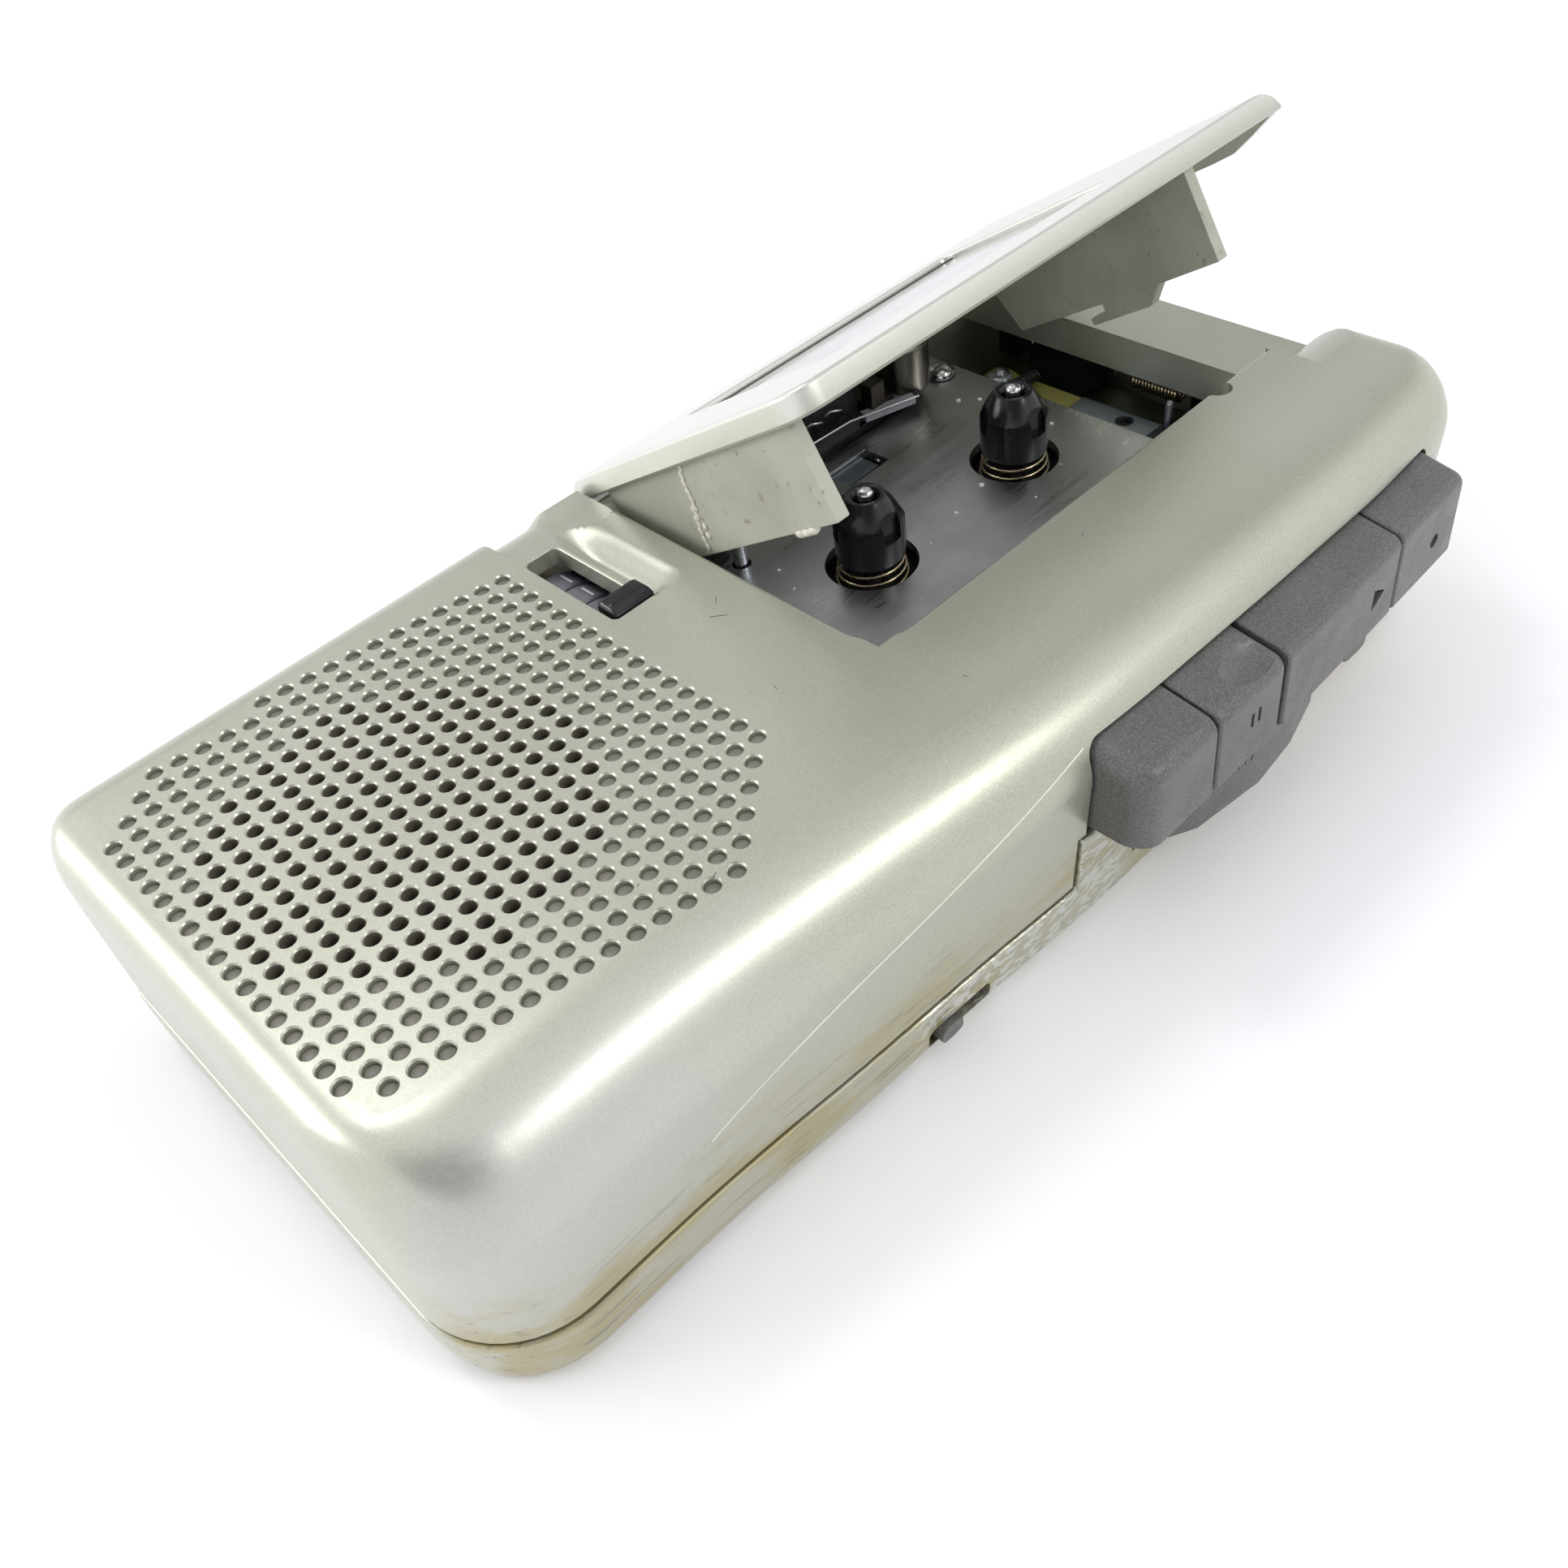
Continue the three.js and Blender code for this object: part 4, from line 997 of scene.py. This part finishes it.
combine(counter_frame, [lathe("bore", "y", WHEEL_X, WHEEL_Z, [(1, 12), (1, 27)], 16)])
finish(bevel(counter_frame, 0.1, 2), M["dull_black"], "case", "counter_frame")

# ------------------------------------------------------------ heads, springs and small fittings in the well


def coil(name, a, b, r, wire, turns):
    """A coil spring from a to b."""
    a, b = Vector(a), Vector(b)
    axis = (b - a).normalized()
    side = axis.orthogonal().normalized()
    up = axis.cross(side)
    steps = int(turns * 14)
    pts = []
    for i in range(steps + 1):
        t = i / steps
        ang = 2 * math.pi * turns * t
        pts.append(tuple(a + (b - a) * t + r * (math.cos(ang) * side + math.sin(ang) * up)))
    return tube(name, pts, wire, 7)


spring = coil("bridge_spring_look", (54, 1.2, 17.2), (54, 7, 17.2), 0.75, 0.16, 14)
finish(spring, M["wire"], "case", "bridge_spring", 60, False)
spring = coil("latch_spring", (45.2, 17.3, 17.3), (48.9, 16.4, 17.3), 0.55, 0.14, 10)
finish(spring, M["dull_black"], "case", (), 60, False)
can = [(2.5, 18.2), (2.7, 18.35), (2.8, 18.6), (2.8, 23.2), (2.7, 23.45), (2.5, 23.6)]
head = lathe("record_play_head_look", "z", 38.4, 26.6, can, 48)
combine(head, [box("rear", 35.6, 41.2, 26.6, 29.6, 18.2, 23.6)], "UNION")
finish(head, M["can"], "head_carriage", "record_play_head", 30)
pad_block = box("pad_block", 21.2, 29.2, 25.0, 26.5, 17.95, 19.3)
finish(pad_block, M["dull_black"], "head_carriage", ())
lever = prism("grey_lever", "z", 17.95, 18.9, [(30.2, 24.9), (36.2, 23.0), (36.5, 24.0), (30.5, 26.2)])
finish(bevel(lever, 0.15, 2), M["grey"], "head_carriage", ())
tip = prism("lever_tip", "z", 17.95, 18.7, [(36.3, 23.0), (37.6, 23.6), (37.6, 24.4), (36.6, 24.0)])
finish(tip, M["dull_black"], "head_carriage", ())
wires = []
for x in (24.6, 27.6):
    hook = [(x, 26.4, 19.2), (x + 0.1, 26.0, 20.3), (x - 0.3, 25.6, 20.9), (x - 1.6, 25.9, 21.2),
            (x - 2.0, 26.5, 20.6)]
    wires.append(tube_data(hook, 0.14, 8))
run = [(21.0, 25.3, 19.45), (24.5, 24.9, 19.6), (27.5, 24.6, 19.7),
       (30.5, 24.2, 19.3), (34.0, 23.4, 19.05), (36.4, 22.8, 18.9)]
wires.append(tube_data(run, 0.12, 8))
finish(joined("pad_wires", wires), M["bright"], "head_carriage", (), 60, False)
side_view = [(0.6, 15.9), (0.6, 16.9), (1.55, 16.95), (1.6, 17.1),
             (1.5, 17.5), (1.2, 17.85), (0.7, 18.05), (0.05, 18.1)]
dome = lathe("plate_screw_look", "z", 43.6, 26, side_view, 28)
combine(dome, [box("slot", 42.4, 44.8, 25.85, 26.15, 17.75, 19)])
finish(dome, M["bright"], "case", "plate_screw", 30)
bracket = box("lock_bracket_look", 46.2, 49.2, 0.3, 10.3, 15.6, 16.4)
combine(bracket, [prism("hole", "z", 15, 17, circle(47.7, 3.9, 1.0, 28))])
finish(bevel(bracket, 0.12, 2), M["zinc"], "case", "lock_bracket")
finish(box("latch_bar", 46.2, 49.2, -1.2, 0.1, 15.5, 16.5), M["dull_black"], "case", ())
pin = lathe("sensing_pin", "z", 48.9, -0.8, [(0.45, 16.4), (0.45, 19.4), (0.3, 19.65), (0.05, 19.7)], 18)
finish(pin, M["steel"], "case", (), 40)
side_view = [(1.5, 16.2), (1.5, 16.7), (1.25, 17.0), (0.7, 17.05), (0.5, 17.5), (0.05, 17.55)]
nut = lathe("seal_nut", "z", 47.3, 20.4, side_view, 6)
finish(bevel(nut, 0.1, 2), M["steel"], "case", ())
varnish = lathe("seal_varnish", "z", 47.3, 20.4, [(1.9, 16.0), (2.1, 16.2), (1.9, 16.5), (1.55, 16.6)], 24)
finish(varnish, M["fibre"], "case", (), 40)
finish(box("fibre_strip", 46.2, 49.2, 10.6, 22.5, 15.2, 16.2), M["fibre"], "case", ())
finish(box("lamp_holder", 57.0, 59.7, 25.8, 28.6, 12.6, 15.4), M["dull_black"], "case", ())
side_view = [(1.4, 59.7), (1.4, 60.9), (1.2, 61.15), (0.7, 61.3), (0.05, 61.35)]
lamp = lathe("record_lamp_look", "x", 27.2, 14, side_view, 24)
finish(lamp, M["lamp"], "case", "record_lamp", 40)
specks = []
low = PLATE_TOP - 0.01
for x, y, r in ((29.5, 8.3, 0.3), (24.3, 7.3, 0.22), (42.5, 9.5, 0.22), (42, 19, 0.25), (40.5, 20.8, 0.3),
                (7, 15.3, 0.2), (5.8, 12, 0.16), (26.8, 20.2, 0.15), (19, 6, 0.12), (31, 2.5, 0.14),
                (9, -4, 0.25), (22, -1, 0.12), (12, 1, 0.1), (37, 4, 0.12)):
    dot = [(r, low), (r * 0.9, low + r * 0.5), (r * 0.4, low + r * 0.8)]
    specks.append(lathe_data("z", x, y, dot, 7))
finish(joined("plate_specks", specks), M["digit"], "case", (), 60, False)

# ------------------------------------------------------------ fine lines on the case


def on_front(x, z):
    """A point on the front skin above the seam."""
    front, brow = front_at(x), top_radius_at(x)
    if z > TOP - brow:
        return (x, front + brow - math.sqrt(max(brow ** 2 - (z - TOP + brow) ** 2, 0)), z)
    return (x, front + undercut_at(x) * (1 - (z - 3) / (TOP - brow - 3)), z)


marks = []
for x, y, length, turn in ((-29.5, -16.9, 0.8, 0.5), (-12.6, -6.0, 0.5, 1.2), (-9.2, 4.4, 1.6, 2.4),
                           (-7.8, 6.2, 0.9, 0.9), (17.5, -13.4, 0.4, 0.3), (-33.5, -13.2, 0.3, 0.4),
                           (-2.5, -17.2, 0.5, 2.0)):
    dx, dy = 0.5 * length * math.cos(turn), 0.5 * length * math.sin(turn)
    ends = [(x + k * dx, y + k * dy, top_height(x + k * dx, y + k * dy)) for k in (-1, 1)]
    middle = (x, y + 0.06, top_height(x, y) + 0.005)
    marks.append(tube_data([ends[0], middle, ends[1]], 0.035, 6))
finish(joined("small_scratches", marks), M["dark_scratch_and_shade"], "case", (), 60, False)
# The front crease is a thin near-white tube: a painted glint along a small-radius edge of the front.
path = [on_front(-40 + 39.6 * i / 36, 13.4 + 9.9 * (i / 36) ** 0.9) for i in range(37)]
finish(tube("front_crease", path, 0.055, 8), M["crease"], "case", (), 60, False)

# ------------------------------------------------------------ floor, light, camera

SKY = (0.97, 0.98, 1.0, 1)
# Darker patches of the sky: direction, cosine at the edge, cosine where it is full, colour.
SHADES = (((0.50, 0.60, 0.62), 0.60, 0.98, (0.50, 0.51, 0.52)),
          ((-0.43, -0.56, 0.70), 0.82, 0.97, (0.16, 0.16, 0.17)))


def paper_floor():
    bpy.ops.mesh.primitive_plane_add(size=6, location=(0, 0, 0))
    floor = bpy.context.object
    floor.name = "floor"
    s = Shader("floor_paper", (0.95, 0.95, 0.97), 0.6)
    cloud = s.ramp(s.noise(90, 2), 0.3, 0.7)
    s.drive(s.blend(cloud, (0.945, 0.945, 0.96), (0.96, 0.96, 0.975)), "Base Color")
    floor.data.materials.append(s.mat)


def sky():
    world = bpy.context.scene.world or bpy.data.worlds.new("world")
    bpy.context.scene.world = world
    world.use_nodes = True
    tree = world.node_tree
    back = tree.nodes["Background"]
    coord = tree.nodes.new("ShaderNodeTexCoord")
    color = None
    for toward, edge, full, shade_color in SHADES:
        dot = tree.nodes.new("ShaderNodeVectorMath")
        dot.operation = "DOT_PRODUCT"
        tree.links.new(coord.outputs["Generated"], dot.inputs[0])
        dot.inputs[1].default_value = toward
        fade = tree.nodes.new("ShaderNodeMapRange")
        fade.interpolation_type = "SMOOTHSTEP"
        fade.inputs["From Min"].default_value = edge
        fade.inputs["From Max"].default_value = full
        tree.links.new(dot.outputs["Value"], fade.inputs["Value"])
        mix = tree.nodes.new("ShaderNodeMix")
        mix.data_type = "RGBA"
        mix.inputs["A"].default_value = SKY
        if color is not None:
            tree.links.new(color, mix.inputs["A"])
        mix.inputs["B"].default_value = (*shade_color, 1)
        tree.links.new(fade.outputs["Result"], mix.inputs["Factor"])
        color = next(o for o in mix.outputs if o.type == "RGBA")
    tree.links.new(color, back.inputs["Color"])
    back.inputs["Strength"].default_value = 1.15


def panel(name, toward, distance, size, power, target=(0, 0, 0.02)):
    """A rectangular lamp, in metres and watts, that stands off from the target and faces it."""
    data = bpy.data.lights.new(name, "AREA")
    data.shape = "RECTANGLE"
    data.size, data.size_y = size
    data.energy = power
    obj = new_object(name, data)
    place = Vector(target) + distance * Vector(toward).normalized()
    obj.location = place
    obj.rotation_euler = (Vector(target) - place).to_track_quat("-Z", "Y").to_euler()


def camera():
    data = bpy.data.cameras.new("camera")
    data.lens, data.sensor_width = 34.05, 36
    data.clip_start = 0.005
    cam = new_object("camera", data)
    right = Vector((0.7039, -0.6993, -0.1245))
    up = Vector((0.5622, 0.4414, 0.6993))
    back = -Vector((0.4341, 0.5622, -0.7039))
    turn = Matrix((right, up, back)).transposed()
    cam.matrix_world = Matrix.Translation((-0.0679, -0.0765, 0.1049)) @ turn.to_4x4()
    bpy.context.scene.camera = cam


paper_floor()
sky()
panel("front_panel", (0.32, -0.66, 0.68), 0.42, (0.12, 0.09), 0.38, (-0.035, -0.015, 0.02))
panel("left_panel", (-0.68, 0.62, 0.33), 1.0, (0.6, 0.34), 3.4)
panel("top_panel", (-0.05, 0.52, 0.85), 1.2, (0.3, 0.3), 2.4)
camera()
bpy.context.scene.view_settings.view_transform = "Standard"
